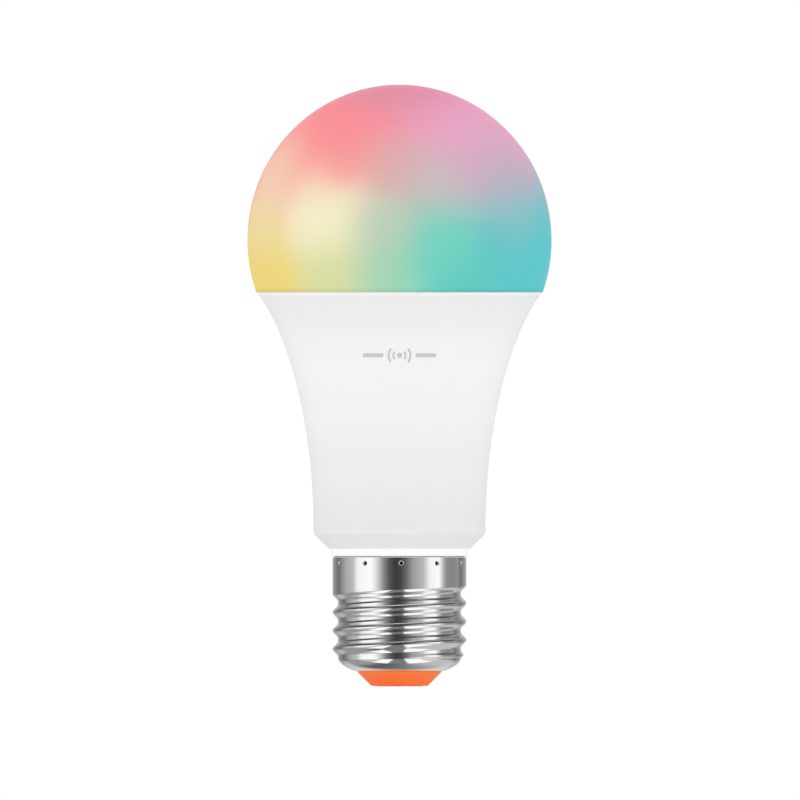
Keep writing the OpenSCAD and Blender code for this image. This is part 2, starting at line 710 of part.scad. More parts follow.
// Two E-shaped ferrite halves that meet at mid height round the winding's bobbin
core = [13.2, 5.9, 12.8];
leg_w = 2.5;
yoke_h = 2.6;
module transformer_core() {
    color("darkslategray") translate([0, transformer_y, transformer_z]) difference() {
        block(core, [0, 0, -core[2] / 2]);
        for (side = [-1, 1])
            block([core[0] / 2 - 1.5 * leg_w, 9, core[2] - 2 * yoke_h],
                  [side * (core[0] / 4 - leg_w / 4), 0, -core[2] / 2 + yoke_h]);
    }
}
window_w = core[0] / 2 - 1.5 * leg_w;
window_h = core[2] - 2 * yoke_h;
// One turn round the core's middle leg, as a box with a square hole
module leg_band(inner, outer_x, outer_y, h, z) {
    translate([0, transformer_y, z]) difference() {
        block([outer_x, outer_y, h], [0, 0, 0]);
        block([leg_w + inner, core[1] + inner, h + 2], [0, 0, -1]);
    }
}
band_x = leg_w + 2 * window_w - 0.2;
module transformer_bobbin() {
    low = transformer_z - window_h / 2 + 0.05;
    color("black") union() {
        leg_band(0.1, leg_w + 1.3, core[1] + 1.3, window_h - 0.1, low);
        leg_band(0.1, band_x, 11.6, 0.6, low);
        leg_band(0.1, band_x, 11.6, 0.6, low + window_h - 0.7);
    }
}
module transformer_winding() {
    color("peru") leg_band(1.4, band_x - 0.5, 10.4, window_h - 1.5,
                           transformer_z - window_h / 2 + 0.75);
}
module transformer_tape() {
    low = transformer_z - window_h / 2 + 0.75;
    color("gold") for (side = [-1, 1])
        block([band_x - 0.5, 0.15, window_h - 1.5],
              [0, transformer_y + side * (5.2 + 0.08), low]);
}
module transformer_pins() {
    rail = [core[0] - 1, 1.4, 1.6];
    color("black") for (side = [-1, 1]) union() {
        block(rail, [0, driver_y - 1.1, transformer_z + side * 7.6 - rail[2] / 2]);
        for (x = [-5, -2.5, 2.5, 5])
            along_y(0.3, driver_y - 1.2, driver_back + 1, x, transformer_z + side * 7.6);
    }
}

// A drum of ferrite, its axis along Y, wound with enamelled wire
module filter_choke_core() {
    color("darkslategray") translate([0, driver_y - 0.5, choke_z]) rotate([90, 0, 0])
        rotate_extrude($fn = 48) polygon([[0, 0], [4, 0], [4, 1.1], [1.8, 1.1], [1.8, 7.4],
                                          [4, 7.4], [4, 8.5], [0, 8.5]]);
}
module filter_choke_winding() {
    coil = [for (i = [0 : 11]) 3.3 + (i % 2) * 0.14];
    color("peru") translate([0, driver_y - 1.7, choke_z]) rotate([90, 0, 0])
        rotate_extrude($fn = 48) polygon(concat([[1.85, 0]],
            [for (i = [0 : 11]) [coil[i], 6.2 * i / 11]], [[1.85, 6.2]]));
}

// ================= leads from the board to the cap =================

core_r = 0.35;
sleeve_r = 0.65;
live_route = [[fuse_at[0], fuse_at[1], fuse_z[0] - 0.1], [fuse_at[0], fuse_at[1], 12.4],
              [4.6, -3.4, 11], [2.2, -1.4, 10.3], [0.6, -0.3, 9.9], [0, 0, 9.2], [0, 0, 8.5]];
neutral_insulated = [[-6.6, driver_back - 1.8, 19], [-6.7, 1.6, 18.4], [-7.0, 0.9, 16.5],
                     [-7.9, 0.3, 13.5], [-8.8, 0, 11]];
neutral_start = [[-6.6, driver_back + 0.8, 19], [-6.6, driver_back - 0.5, 19]];
neutral_bare = [[-9.6, 0, 8.9], [-10.5, 0, 8.35], [-11.3, 0, 8.9], [-11.36, 0, 10.5],
                [-11.36, 0, 15]];
module live_wire() { color("peru") wire(spline(live_route, 3), core_r, [0.5, 0.8, 0]); }
module neutral_wire() {
    color("peru") wire(spline(concat(neutral_start, neutral_insulated, neutral_bare), 3),
                       core_r, [1, 0, 0]);
}
module neutral_insulation() {
    color("lightsteelblue") wire(spline(neutral_insulated, 4), sleeve_r, [1, 0, 0], core_r + 0.1);
}

// ================= what is drawn =================

diffuser();
seal_ring();
housing();
heat_cup();
screw_shell();
cap_insulator();
centre_contact();
led_board();
thermal_paste();
led_board_screws();
white_led_cases();
warm_phosphor();
cool_phosphor();
colour_led_cases();
colour_led_lenses();
led_pin_header();
led_pins();
led_pin_solder();
radio_board();
radio_shield();
radio_antenna();
radio_spacer();
radio_pins();
driver_board();
input_capacitor();
output_capacitor();
capacitor_bungs();
capacitor_leads();
film_capacitor();
varistor();
fuse_resistor();
fuse_sleeve();
bridge_rectifier();
power_chip();
dimmer_chip();
chip_leads();
chip_resistors();
chip_capacitors();
diodes();
transformer_core();
transformer_bobbin();
transformer_winding();
transformer_tape();
transformer_pins();
filter_choke_core();
filter_choke_winding();
live_wire();
neutral_wire();
neutral_insulation();
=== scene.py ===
"""Looks of a smart light bulb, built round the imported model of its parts.

Lengths below are millimetres, as on a drawing; meshes are made in metres.
"""

import json

import bmesh
import bpy
import numpy as np
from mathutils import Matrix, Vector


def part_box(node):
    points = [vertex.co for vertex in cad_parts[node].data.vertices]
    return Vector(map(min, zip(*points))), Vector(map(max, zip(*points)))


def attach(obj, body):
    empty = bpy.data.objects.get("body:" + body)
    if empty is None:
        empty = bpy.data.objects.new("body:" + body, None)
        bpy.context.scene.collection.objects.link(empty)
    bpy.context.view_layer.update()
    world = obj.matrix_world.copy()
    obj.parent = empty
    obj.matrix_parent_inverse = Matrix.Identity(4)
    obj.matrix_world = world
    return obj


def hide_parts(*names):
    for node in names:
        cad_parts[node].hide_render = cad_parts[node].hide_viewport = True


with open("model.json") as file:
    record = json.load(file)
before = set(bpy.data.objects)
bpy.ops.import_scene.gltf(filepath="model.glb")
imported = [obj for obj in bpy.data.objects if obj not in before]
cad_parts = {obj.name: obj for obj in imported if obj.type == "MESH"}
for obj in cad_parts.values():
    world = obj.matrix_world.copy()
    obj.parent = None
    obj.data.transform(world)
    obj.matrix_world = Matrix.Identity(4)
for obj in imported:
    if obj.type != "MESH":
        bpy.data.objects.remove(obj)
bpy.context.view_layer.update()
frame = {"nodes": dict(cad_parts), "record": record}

MM = 0.001
TAU = 2 * np.pi

# ---------------------------------------------------------------- sizes, in mm

OVERALL_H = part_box("diffuser")[1].z / MM
GLOBE_R = 30.0
DOME_RISE = 30.7
EQUATOR_Z = OVERALL_H - DOME_RISE
DOME_WALL = 1.3
SPLIT_Z = 77.8
SEAT_Z = SPLIT_Z - 0.05
SKIRT_R, SKIRT_IN_R, SKIRT_Z = 25.5, 24.3, 74.9

RIM_R = 28.3
WAIST_R, WAIST_Z = 16.95, 31.0
FLARE_CURVE = ((WAIST_R, WAIST_Z), (WAIST_R, WAIST_Z + 24),
               (RIM_R - 0.9 * 5.4, SPLIT_Z - 5.4), (RIM_R, SPLIT_Z))
BODY_WALL = 1.2
NECK_IN_R, NECK_OUT_R, NECK_BAND_R, NECK_Z = 10.0, 11.7, 12.85, 9.6
NECK_STEP_Z, NECK_FLOOR_Z = (20.6, 21.2), 26.2
COLLAR_R, COLLAR_FOOT_Z, COLLAR_Z = 13.6, 25.75, 27.2
CHAMFER_FOOT_R = 14.0
CHAMFER_TOP = (16.6, 29.8)

CREST_R, ROOT_R, BAND_R = 13.2, 12.1, 13.2
PITCH = 3.629
SHELL_WALL = 0.3
LIP_R, LIP_Z, CURL_Z, CURL_POWER = 8.4, 3.0, 5.4, 1.5
BAND_TOP_Z = 25.55
THREAD_Z0 = 9.18
THREAD_BACK = np.radians(90)
LAST_CREST = 2
CREST_TO_BAND = 0.8
START_FADE = 1.2
THREAD_TOP_Z = 21.6
FADE_ANGLE = np.radians(80)
CREST_POWER = 1.3
CRIMPS = 11
CRIMP_Z = 24.3
CRIMP_TURN = np.radians(1.6)
CRIMP_R, CRIMP_DEPTH = 0.34, 0.42

WHITE_LEDS, WHITE_RING_R = 14, 19.6
COLOUR_LEDS, COLOUR_RING_R = 6, 12.5


# ---------------------------------------------------------------- shader maths

class Val:
    """A shader socket in an expression: each operator on it adds one Math node."""

    def __init__(self, tree, socket):
        self.tree, self.socket = tree, socket

    def math(self, operation, *others):
        return self.tree.add("ShaderNodeMath", {"operation": operation}, self, *others)

    __add__ = __radd__ = lambda self, other: self.math("ADD", other)
    __sub__ = lambda self, other: self.math("SUBTRACT", other)
    __rsub__ = lambda self, other: self.tree.math("SUBTRACT", other, self)
    __mul__ = __rmul__ = lambda self, other: self.math("MULTIPLY", other)
    __truediv__ = lambda self, other: self.math("DIVIDE", other)
    __rtruediv__ = lambda self, other: self.tree.math("DIVIDE", other, self)
    __pow__ = lambda self, other: self.math("POWER", other)
    __neg__ = lambda self: self.math("MULTIPLY", -1.0)
    __abs__ = lambda self: self.math("ABSOLUTE")
    __gt__ = lambda self, other: self.math("GREATER_THAN", other)
    __lt__ = lambda self, other: self.math("LESS_THAN", other)


class Tree:
    """A node tree that is filled by calls: add() makes any node and gives its output."""

    def __init__(self, owner):
        owner.use_nodes = True
        self.nodes, self.links = owner.node_tree.nodes, owner.node_tree.links
        self.nodes.clear()

    def put(self, target, value):
        if isinstance(value, Val):
            self.links.new(value.socket, target)
        elif value is not None:
            target.default_value = rgba(value) if target.type == "RGBA" else value

    def add(self, kind, settings=None, *values, out=0, **named):
        """One node: its settings first, then the values or links of its sockets. Gives the
        output that is asked for, or the node itself if out is None."""
        node = self.nodes.new(kind)
        for name, value in (settings or {}).items():
            setattr(node, name, value)
        for i, value in enumerate(values):
            self.put(node.inputs[i], value)
        for name, value in named.items():
            self.put(node.inputs[name.replace("_", " ")], value)
        if out is None:
            return node
        return Val(self, node.outputs[out])

    def math(self, operation, *values):
        return self.add("ShaderNodeMath", {"operation": operation}, *values)

    def vector(self, operation, *values, out=0):
        return self.add("ShaderNodeVectorMath", {"operation": operation}, *values, out=out)

    def scaled(self, vector, number):
        return self.add("ShaderNodeVectorMath", {"operation": "SCALE"}, vector, Scale=number)

    def reach(self, x, y):
        """Length of the line with parts x and y."""
        return self.math("SQRT", x ** 2.0 + y ** 2.0)

    def parts(self, vector):
        node = self.add("ShaderNodeSeparateXYZ", None, vector, out=None)
        return [Val(self, node.outputs[i]) for i in range(3)]

    def join(self, x, y, z):
        return self.add("ShaderNodeCombineXYZ", None, x, y, z)

    def mix(self, factor, a, b):
        """Colour a where the factor is 0 and colour b where it is 1."""
        node = self.add("ShaderNodeMix", {"data_type": "RGBA"}, out=None)
        self.put(node.inputs[0], factor)
        self.put(node.inputs[6], a)
        self.put(node.inputs[7], b)
        return Val(self, node.outputs[2])

    def step(self, value, low, high):
        """0 below low, 1 above high, and a smooth rise between."""
        return self.add("ShaderNodeMapRange", {"interpolation_type": "SMOOTHSTEP"},
                        value, low, high, 0.0, 1.0)

    def ramp(self, factor, stops, smooth=True):
        """A colour band: stops are (place, colour) with places from 0 to 1."""
        node = self.add("ShaderNodeValToRGB", None, factor, out=None)
        band = node.color_ramp
        band.interpolation = "EASE" if smooth else "LINEAR"
        band.elements[0].position, band.elements[0].color = stops[0][0], rgba(stops[0][1])
        band.elements[1].position, band.elements[1].color = stops[-1][0], rgba(stops[-1][1])
        for place, colour in stops[1:-1]:
            band.elements.new(place).color = rgba(colour)
        return Val(self, node.outputs[0])

    def noise(self, where, scale, detail=2.0):
        return self.add("ShaderNodeTexNoise", None, where, None, scale, detail, 0.5)


def linear(r, g, b):
    """A screen colour, 0 to 255, as linear light."""
    return tuple((c / 255 / 12.92) if c <= 10 else ((c / 255 + 0.055) / 1.055) ** 2.4
                 for c in (r, g, b))


def grey(v):
    return linear(v, v, v)


def rgba(colour):
    return (*colour, 1.0)


class Finish(Tree):
    """A material: a Principled shader whose even values are set on its own sockets."""

    def __init__(self, name, **even):
        material = bpy.data.materials.new(name)
        super().__init__(material)
        self.material = material
        self.shader = self.nodes.new("ShaderNodeBsdfPrincipled")
        output = self.nodes.new("ShaderNodeOutputMaterial")
        self.links.new(self.shader.outputs[0], output.inputs[0])
        self.set(**even)
        self.coords = self.add("ShaderNodeTexCoord", out="Object")

    def set(self, **values):
        for key, value in values.items():
            self.put(self.shader.inputs[key.replace("_", " ")], value)

    def read(self, name):
        """A number that the mesh stores for each of its points."""
        return self.add("ShaderNodeAttribute", {"attribute_name": name}, out=2)

    def bump(self, height, distance):
        """Small relief: height is 0 to 1, distance its depth in metres."""
        self.set(Normal=self.add("ShaderNodeBump", None, Strength=1.0, Distance=distance,
                                 Height=height))


# ---------------------------------------------------------------- meshes

def added(name, data):
    """A new object in the scene."""
    new = bpy.data.objects.new(name, data)
    bpy.context.scene.collection.objects.link(new)
    return new


def shown(name, mesh, slot, *nodes, finish=None):
    """Puts a mesh on the lamp: it rides on the one body, takes a slot of the record and
    that slot's finish, and stands for some CAD nodes."""
    piece = added(name, mesh)
    mesh.materials.append((finish or finish_of(slot)).material)
    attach(piece, "root")
    if nodes:
        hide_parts(*nodes)
    return piece


def surface(name, points, slot, *nodes, wrap_rows=False):
    """A piece from a grid of points, rows by columns by 3, in mm.

    Faces join each point to the next one along its row and its column; the last column
    joins the first, and so does the last row if rows wrap. A row that shrinks to one
    point is merged.
    """
    rows, columns = points.shape[:2]
    r = np.arange(rows if wrap_rows else rows - 1)[:, None]
    c = np.arange(columns)[None, :]
    r2, c2 = (r + 1) % rows, (c + 1) % columns
    quads = np.stack([r * columns + c, r * columns + c2, r2 * columns + c2,
                      r2 * columns + c], axis=-1).reshape(-1, 4)
    return solid(name, points.reshape(-1, 3), quads, slot, *nodes)


def solid(name, points, faces, slot, *nodes, finish=None):
    """A piece from points in mm and faces as lists of point numbers. Points that fall
    together are merged, and faces that this leaves without an area are dropped."""
    points = np.asarray(points, float) * MM
    same = np.round(points * 1e8).astype(np.int64)
    _, first, where = np.unique(same, axis=0, return_index=True, return_inverse=True)
    where = where.reshape(-1)
    clean = []
    for face in faces:
        f = where[np.asarray(face)]
        kept = [int(v) for i, v in enumerate(f) if v != f[i - 1]]
        if len(set(kept)) > 2:
            clean.append(kept)
    mesh = bpy.data.meshes.new(name)
    mesh.from_pydata(points[first].tolist(), [], clean)
    mesh.validate()
    mesh.polygons.foreach_set("use_smooth", np.full(len(mesh.polygons), True))
    return shown(name, mesh, slot, *nodes, finish=finish)


def turned(profile, columns=192):
    """Grid of a turned part: each (radius, height) of the profile goes round the axis."""
    profile = np.asarray(profile, float)
    angle = np.arange(columns) * TAU / columns
    radius, height = profile[:, 0:1], profile[:, 1:2]
    return np.stack([radius * np.cos(angle), radius * np.sin(angle),
                     height * np.ones_like(angle)], axis=-1)


def arc(centre, radius, start, end, n=6):
    """Points on a circle in the profile plane, from one angle to another, in degrees."""
    a = np.radians(np.linspace(start, end, n))
    return [(centre[0] + radius * np.cos(t), centre[1] + radius * np.sin(t)) for t in a]


def rounded(corners, radii, n=5):
    """A closed outline whose corners are rounded by short curves: each corner is replaced
    by a quadratic curve between points one radius along its two sides."""
    out = []
    count = len(corners)
    for i, (corner, r) in enumerate(zip(corners, radii)):
        corner = np.array(corner, float)
        if r == 0:
            out.append(tuple(corner))
            continue
        before = np.array(corners[i - 1], float) - corner
        after = np.array(corners[(i + 1) % count], float) - corner
        a = corner + before / np.linalg.norm(before) * r
        b = corner + after / np.linalg.norm(after) * r
        for t in np.linspace(0, 1, n):
            out.append(tuple((1 - t) ** 2 * a + 2 * t * (1 - t) * corner + t * t * b))
    return out


# ---------------------------------------------------------------- finishes of the outside

# The glow of the dome: (direction of the patch on the dome as seen from the front,
# x and z in mm), reach in mm, screen colour. The sign of the last entry puts it on
# the front (-1) or the back (+1).
GLOW = (
    ((-13, 109), 11, (252, 142, 148), -1),
    ((0, 117), 9, (228, 143, 167), -1),
    ((13, 109), 11, (232, 164, 196), -1),
    ((20, 101), 8, (192, 176, 190), -1),
    ((22, 93), 7, (126, 196, 200), -1),
    ((-2, 103), 6, (222, 172, 170), -1),
    ((7, 100), 6, (196, 190, 190), -1),
    ((-24, 101), 7, (246, 206, 182), -1),
    ((-15, 94), 8, (244, 240, 202), -1),
    ((-27, 91), 6, (238, 220, 166), -1),
    ((-26, 80), 9, (238, 214, 120), -1),
    ((-13, 80), 7, (216, 220, 160), -1),
    ((-3, 80), 6, (158, 214, 184), -1),
    ((-3, 91), 6, (188, 206, 184), -1),
    ((9, 87), 8, (112, 212, 192), -1),
    ((26, 84), 10, (88, 200, 206), -1),
    ((14, 78), 7, (92, 200, 192), -1),
    ((-11, 103), 4, (246, 148, 152), -1),
    ((19, 87), 5, (88, 196, 196), -1),
    ((29, 96), 4, (156, 184, 190), -1),
    ((-22, 104), 12, (250, 160, 150), 1),
    ((-12, 84), 14, (244, 206, 120), 1),
    ((4, 100), 13, (214, 150, 205), 1),
    ((20, 88), 14, (120, 168, 226), 1),
    ((2, 80), 12, (150, 160, 232), 1),
)


def glow_places():
    """The patches' places on the dome in metres, set on its curved wall by y = the
    ellipsoid's remaining half chord."""
    for (x, z), reach, colour, side in GLOW:
        up = (z - EQUATOR_Z) / DOME_RISE
        chord = max(1 - (x / GLOBE_R) ** 2 - up * up, 0.0) ** 0.5
        yield (x * MM, side * GLOBE_R * chord * MM, z * MM), reach * MM, linear(*colour)


def opal_dome():
    """Milky plastic lit from inside: each patch of light weighs in by the falling bell
    curve of the distance to it, and the colour is the weighted mean of them all."""
    f = Finish("opal_dome", Roughness=0.42, Specular_IOR_Level=0.18, Emission_Strength=1.0)
    total, weights = (0.0, 0.0, 0.0), 1e-6
    for at, reach, colour in glow_places():
        away = f.vector("DISTANCE", f.coords, at, out=1)
        weight = f.math("EXPONENT", -((away / reach) ** 2.0))
        total = f.vector("ADD", f.scaled(colour, weight), total)
        weights = weight + weights
    shade = f.scaled(total, 1.0 / weights)
    z = f.parts(f.coords)[2]
    # Painted shade at the seam: the glow is dimmer in the lowest millimetre of the dome, above its
    # joint with the body
    edge = f.step(z, SPLIT_Z * MM, (SPLIT_Z + 1.0) * MM)
    f.set(Base_Color=f.scaled(shade, 0.30), Emission_Color=f.scaled(shade, 0.60 + edge * 0.12))
    f.bump(f.noise(f.coords, 5200.0, 2.0), 0.000004)
    return f


# The body's white by height in mm, painted shading: brighter at the middle of the flare, darker at
# the waist and just below the rim, with a painted highlight along the rim's top edge
BODY_PAINTED_SHADING = ((28, 247), (30.2, 244), (31.2, 240), (42, 245), (54, 251), (64, 253), (67, 252),
               (74, 247), (77, 246), (77.2, 255), (77.8, 255))


def body_plastic():
    """Moulded white plastic, satin, with the finest spark-eroded grain; its white is painted
    shading by height, and its collar is painted whiter and given a faint glow as painted light.
    """
    f = Finish("body_plastic", Specular_IOR_Level=0.06, Sheen_Weight=0.10,
               Sheen_Roughness=0.45, Emission_Strength=1.0)
    cloud = f.noise(f.coords, 90.0, 3.0)
    x, y, z = f.parts(f.coords)
    foot, top = BODY_PAINTED_SHADING[0][0], BODY_PAINTED_SHADING[-1][0]
    # Painted shading: the white is set lighter or darker by height from the table, with a painted
    # highlight on the rim
    shade = f.ramp((z / MM - foot) / (top - foot),
                   [((h - foot) / (top - foot), grey(v)) for h, v in BODY_PAINTED_SHADING])
    # Painted light: the collar below the chamfer is painted pure white and glows faintly, though it
    # is no lamp
    above_collar = f.step(z, (COLLAR_Z - 0.05) * MM, (COLLAR_Z + 0.05) * MM)
    outside = f.step(f.reach(x, y), (COLLAR_R - 0.6) * MM, (COLLAR_R - 0.4) * MM)
    collar_glow = outside - outside * above_collar
    white = f.mix(collar_glow, shade, grey(255))
    f.set(Base_Color=f.mix(cloud * 0.02, white, grey(235)),
          Emission_Color=f.mix(collar_glow, (0.0, 0.0, 0.0), (0.13, 0.13, 0.13)),
          Roughness=0.42 + cloud * 0.06)
    f.bump(f.noise(f.coords, 6500.0, 2.0), 0.000003)
    return f


def shell_nickel():
    """Bright nickel plate with faint drawing lines round the axis, and painted shade in the punched
    crimp pits.
    """
    f = Finish("shell_nickel", Metallic=1.0)
    x, y, z = f.parts(f.coords)
    lines = f.noise(f.join(x * 40.0, y * 40.0, z * 9000.0), 1.0, 2.0)
    # The punched crimp pits get painted shade: near black and rougher within about 0.3 mm of each
    # pit's middle
    step = TAU / CRIMPS
    turn = f.math("ARCTAN2", x, -y) + (step * (CRIMPS + 0.5) - CRIMP_TURN)
    along = (f.math("MODULO", turn, step) - step / 2) * (BAND_R * MM)
    away = f.reach(along, z - CRIMP_Z * MM)
    pit_shade = 1.0 - f.step(away, 0.26 * MM, 0.36 * MM)
    cloud = f.noise(f.coords, 220.0, 3.0)
    bright = f.mix(cloud, (0.95, 0.95, 0.95), (1.0, 1.0, 0.995))
    f.set(Base_Color=f.mix(pit_shade, bright, (0.03, 0.03, 0.03)),
          Roughness=0.03 + lines * 0.05 + cloud * 0.02 + pit_shade * 0.4)
    return f


def orange_insulator():
    # The orange plastic glows faintly in its own colour: painted light, as it is no lamp
    f = Finish("orange_insulator", Specular_IOR_Level=0.3, Emission_Strength=0.22)
    cloud = f.noise(f.coords, 260.0, 3.0)
    orange = f.mix(cloud, linear(255, 124, 60), linear(255, 133, 68))
    f.set(Base_Color=orange, Emission_Color=orange, Roughness=0.40 + cloud * 0.10)
    f.bump(f.noise(f.coords, 5000.0, 2.0), 0.000005)
    return f


def contact_tin():
    f = Finish("contact_tin", Metallic=1.0)
    worn = f.noise(f.coords, 900.0, 4.0)
    f.set(Base_Color=f.mix(worn, (0.62, 0.61, 0.58), (0.80, 0.79, 0.76)),
          Roughness=0.22 + worn * 0.22)
    f.bump(f.noise(f.coords, 2600.0, 3.0), 0.00001)
    return f


def mark_ink():
    f = Finish("mark_ink", Specular_IOR_Level=0.25)
    speck = f.noise(f.coords, 4200.0, 2.0)
    f.set(Base_Color=f.mix(speck, grey(204), grey(213)), Roughness=0.5 + speck * 0.1)
    return f


# ---------------------------------------------------------------- finishes of the inside

def cloudy(name, dark, light, rough, scale, grain, metal=0.0):
    """A plain finish: its colour and its roughness wander together between two values,
    over a fine relief whose depth in mm is the grain."""
    f = Finish(name, Metallic=metal)
    cloud = f.noise(f.coords, scale, 3.0)
    f.set(Base_Color=f.mix(cloud, dark, light),
          Roughness=rough[0] + cloud * (rough[1] - rough[0]))
    if grain:
        f.bump(f.noise(f.coords, 3200.0, 3.0), grain * MM)
    return f


def tracks(f, along, across, pitch, run, width=0.34):
    """Copper tracks: one line at each pitch of across, drawn in about half of its runs of
    along, where white noise of the run's and the line's numbers is above one half."""
    line = abs(f.math("FRACT", across / pitch) - 0.5)
    cell = f.join(f.math("FLOOR", along / run), f.math("FLOOR", across / pitch), 0.0)
    chance = f.add("ShaderNodeTexWhiteNoise", {"noise_dimensions": "2D"}, cell)
    return (line < width / 2) * (chance > 0.5)


def circuit_board(name, dark, light):
    """Upright glass-epoxy board: solder mask with tracks along both of its directions."""
    f = Finish(name, Specular_IOR_Level=0.5)
    x, _, z = f.parts(f.coords)
    copper = f.math("MAXIMUM", tracks(f, x, z, 1.27 * MM, 5.1 * MM),
                    tracks(f, z, x, 1.27 * MM, 6.4 * MM))
    cloud = f.noise(f.coords, 240.0, 3.0)
    f.set(Base_Color=f.mix(copper * 0.85 + cloud * 0.15, dark, light),
          Roughness=0.28 + cloud * 0.14)
    f.bump(copper, 0.035 * MM)
    return f


def led_board_mask():
    """White mask over an aluminium core: tracks run round the axis and outwards, and the
    board's rim below the mask is bare metal."""
    f = Finish("board_white_mask")
    x, y, z = f.parts(f.coords)
    radius = f.reach(x, y)
    turn = f.math("ARCTAN2", y, x) + 2 * TAU
    copper = f.math("MAXIMUM", tracks(f, turn, radius, 1.7 * MM, TAU / 11, 0.62),
                    tracks(f, radius, turn, TAU / 28, 4.3 * MM, 0.3))
    cloud = f.noise(f.coords, 260.0, 3.0)
    mask = f.mix(copper * 0.7 + cloud * 0.3, grey(240), grey(228))
    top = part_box("led_board")[1].z
    bare = 1.0 - f.step(z, top - 0.14 * MM, top - 0.12 * MM)
    f.set(Base_Color=f.mix(bare, mask, (0.72, 0.72, 0.73)), Metallic=bare,
          Roughness=0.38 + cloud * 0.1 - bare * 0.1)
    f.bump(copper, 0.03 * MM)
    return f


def drawn_aluminium():
    """Deep-drawn sheet: fine scores run up the cup, as noise stretched along z shows them."""
    f = Finish("cup_aluminium", Metallic=1.0)
    x, y, z = f.parts(f.coords)
    scores = f.noise(f.join(x * 2600.0, y * 2600.0, z * 90.0), 1.0, 3.0)
    cloud = f.noise(f.coords, 120.0, 3.0)
    f.set(Base_Color=f.mix(cloud, (0.72, 0.72, 0.73), (0.84, 0.84, 0.85)),
          Roughness=0.24 + scores * 0.22)
    f.bump(scores, 0.012 * MM)
    return f


def clear_resin():
    """Resin over three chips in each colour LED: red, green and blue squares near the
    middle of the lens, placed by its own radius and angle on the ring."""
    f = Finish("clear_resin", Roughness=0.06, Coat_Weight=0.4, Coat_Roughness=0.04)
    x, y, _ = f.parts(f.coords)
    radius = f.reach(x, y)
    sector = TAU / COLOUR_LEDS
    turn = f.math("MODULO", f.math("ARCTAN2", y, x) + 2 * TAU, sector) - sector / 2
    across, out = turn * radius, radius - COLOUR_RING_R * MM
    colour = (0.70, 0.74, 0.74)
    for i, chip in enumerate(((0.75, 0.06, 0.04), (0.05, 0.55, 0.10), (0.05, 0.12, 0.75))):
        a = TAU * i / 3
        dx = abs(out - 0.62 * MM * np.cos(a))
        dy = abs(across - 0.62 * MM * np.sin(a))
        square = 1.0 - f.step(f.math("MAXIMUM", dx, dy), 0.2 * MM, 0.26 * MM)
        colour = f.mix(square, colour, chip)
    f.set(Base_Color=colour)
    return f


def capacitor_sleeve():
    """Shrunk sleeve with a pale stripe down one side and a bare can where the mesh says."""
    f = Finish("capacitor_sleeve", Coat_Roughness=0.1)
    bare, stripe = f.read("bare"), f.read("stripe")
    cloud = f.noise(f.coords, 500.0, 3.0)
    sleeve = f.mix(cloud, linear(20, 26, 44), linear(32, 38, 58))
    printed = f.mix(stripe, sleeve, grey(196))
    f.set(Base_Color=f.mix(bare, printed, (0.78, 0.78, 0.79)), Metallic=bare,
          Roughness=0.22 + cloud * 0.14 + bare * 0.1)
    f.bump(f.noise(f.coords, 2400.0, 2.0), 0.008 * MM)
    return f


def cement_coat():
    """Green cement of the fusible resistor with three painted rings round its body."""
    f = Finish("fuse_green")
    z = f.parts(f.coords)[2]
    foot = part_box("fuse_resistor")[0].z
    cloud = f.noise(f.coords, 700.0, 3.0)
    colour = f.mix(cloud, linear(92, 128, 104), linear(112, 148, 120))
    for height, paint in ((3.0, (96, 52, 28)), (4.4, (26, 26, 26)), (5.8, (186, 150, 70))):
        ring = 1.0 - f.step(abs(z - foot - height * MM), 0.3 * MM, 0.36 * MM)
        colour = f.mix(ring, colour, linear(*paint))
    f.set(Base_Color=colour, Roughness=0.5 + cloud * 0.2)
    f.bump(f.noise(f.coords, 2600.0, 3.0), 0.02 * MM)
    return f


def woven_sleeve():
    """Braided glass sleeve: two sets of threads slant round the fuse's axis as sines."""
    f = Finish("sleeve_white")
    x, y, z = f.parts(f.coords)
    low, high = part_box("fuse_sleeve")
    turn = f.math("ARCTAN2", y - (low.y + high.y) / 2, x - (low.x + high.x) / 2)
    slant = z * (TAU / (1.1 * MM))
    threads = f.math("SINE", turn * 12.0 + slant) * f.math("SINE", turn * 12.0 - slant)
    weave = threads * 0.5 + 0.5
    f.set(Base_Color=f.mix(weave, grey(206), grey(236)), Roughness=0.6 + weave * 0.2)
    f.bump(weave, 0.06 * MM)
    return f


def turned_steel():
    """Zinc-plated screws: fine rings of the tool across a slightly blue clouded plate."""
    f = Finish("steel_screw", Metallic=1.0)
    x, y, z = f.parts(f.coords)
    rings = f.noise(f.join(x * 60.0, y * 60.0, z * 7000.0), 1.0, 2.0)
    cloud = f.noise(f.coords, 700.0, 3.0)
    f.set(Base_Color=f.mix(cloud, (0.56, 0.57, 0.58), (0.70, 0.70, 0.70)),
          Roughness=0.24 + rings * 0.16)
    f.bump(rings, 0.01 * MM)
    return f


# One finish for each slot of the record
FINISHES = {
    "opal_dome": opal_dome, "body_plastic": body_plastic, "shell_nickel": shell_nickel,
    "orange_insulator": orange_insulator, "contact_tin": contact_tin,
    "board_white_mask": led_board_mask, "cup_aluminium": drawn_aluminium,
    "clear_resin": clear_resin, "capacitor_sleeve": capacitor_sleeve,
    "fuse_green": cement_coat, "sleeve_white": woven_sleeve, "steel_screw": turned_steel,
    "board_green": lambda: circuit_board("board_green", linear(10, 72, 40),
                                         linear(34, 118, 62)),
    "board_blue": lambda: circuit_board("board_blue", linear(18, 38, 92),
                                        linear(44, 78, 150)),
}
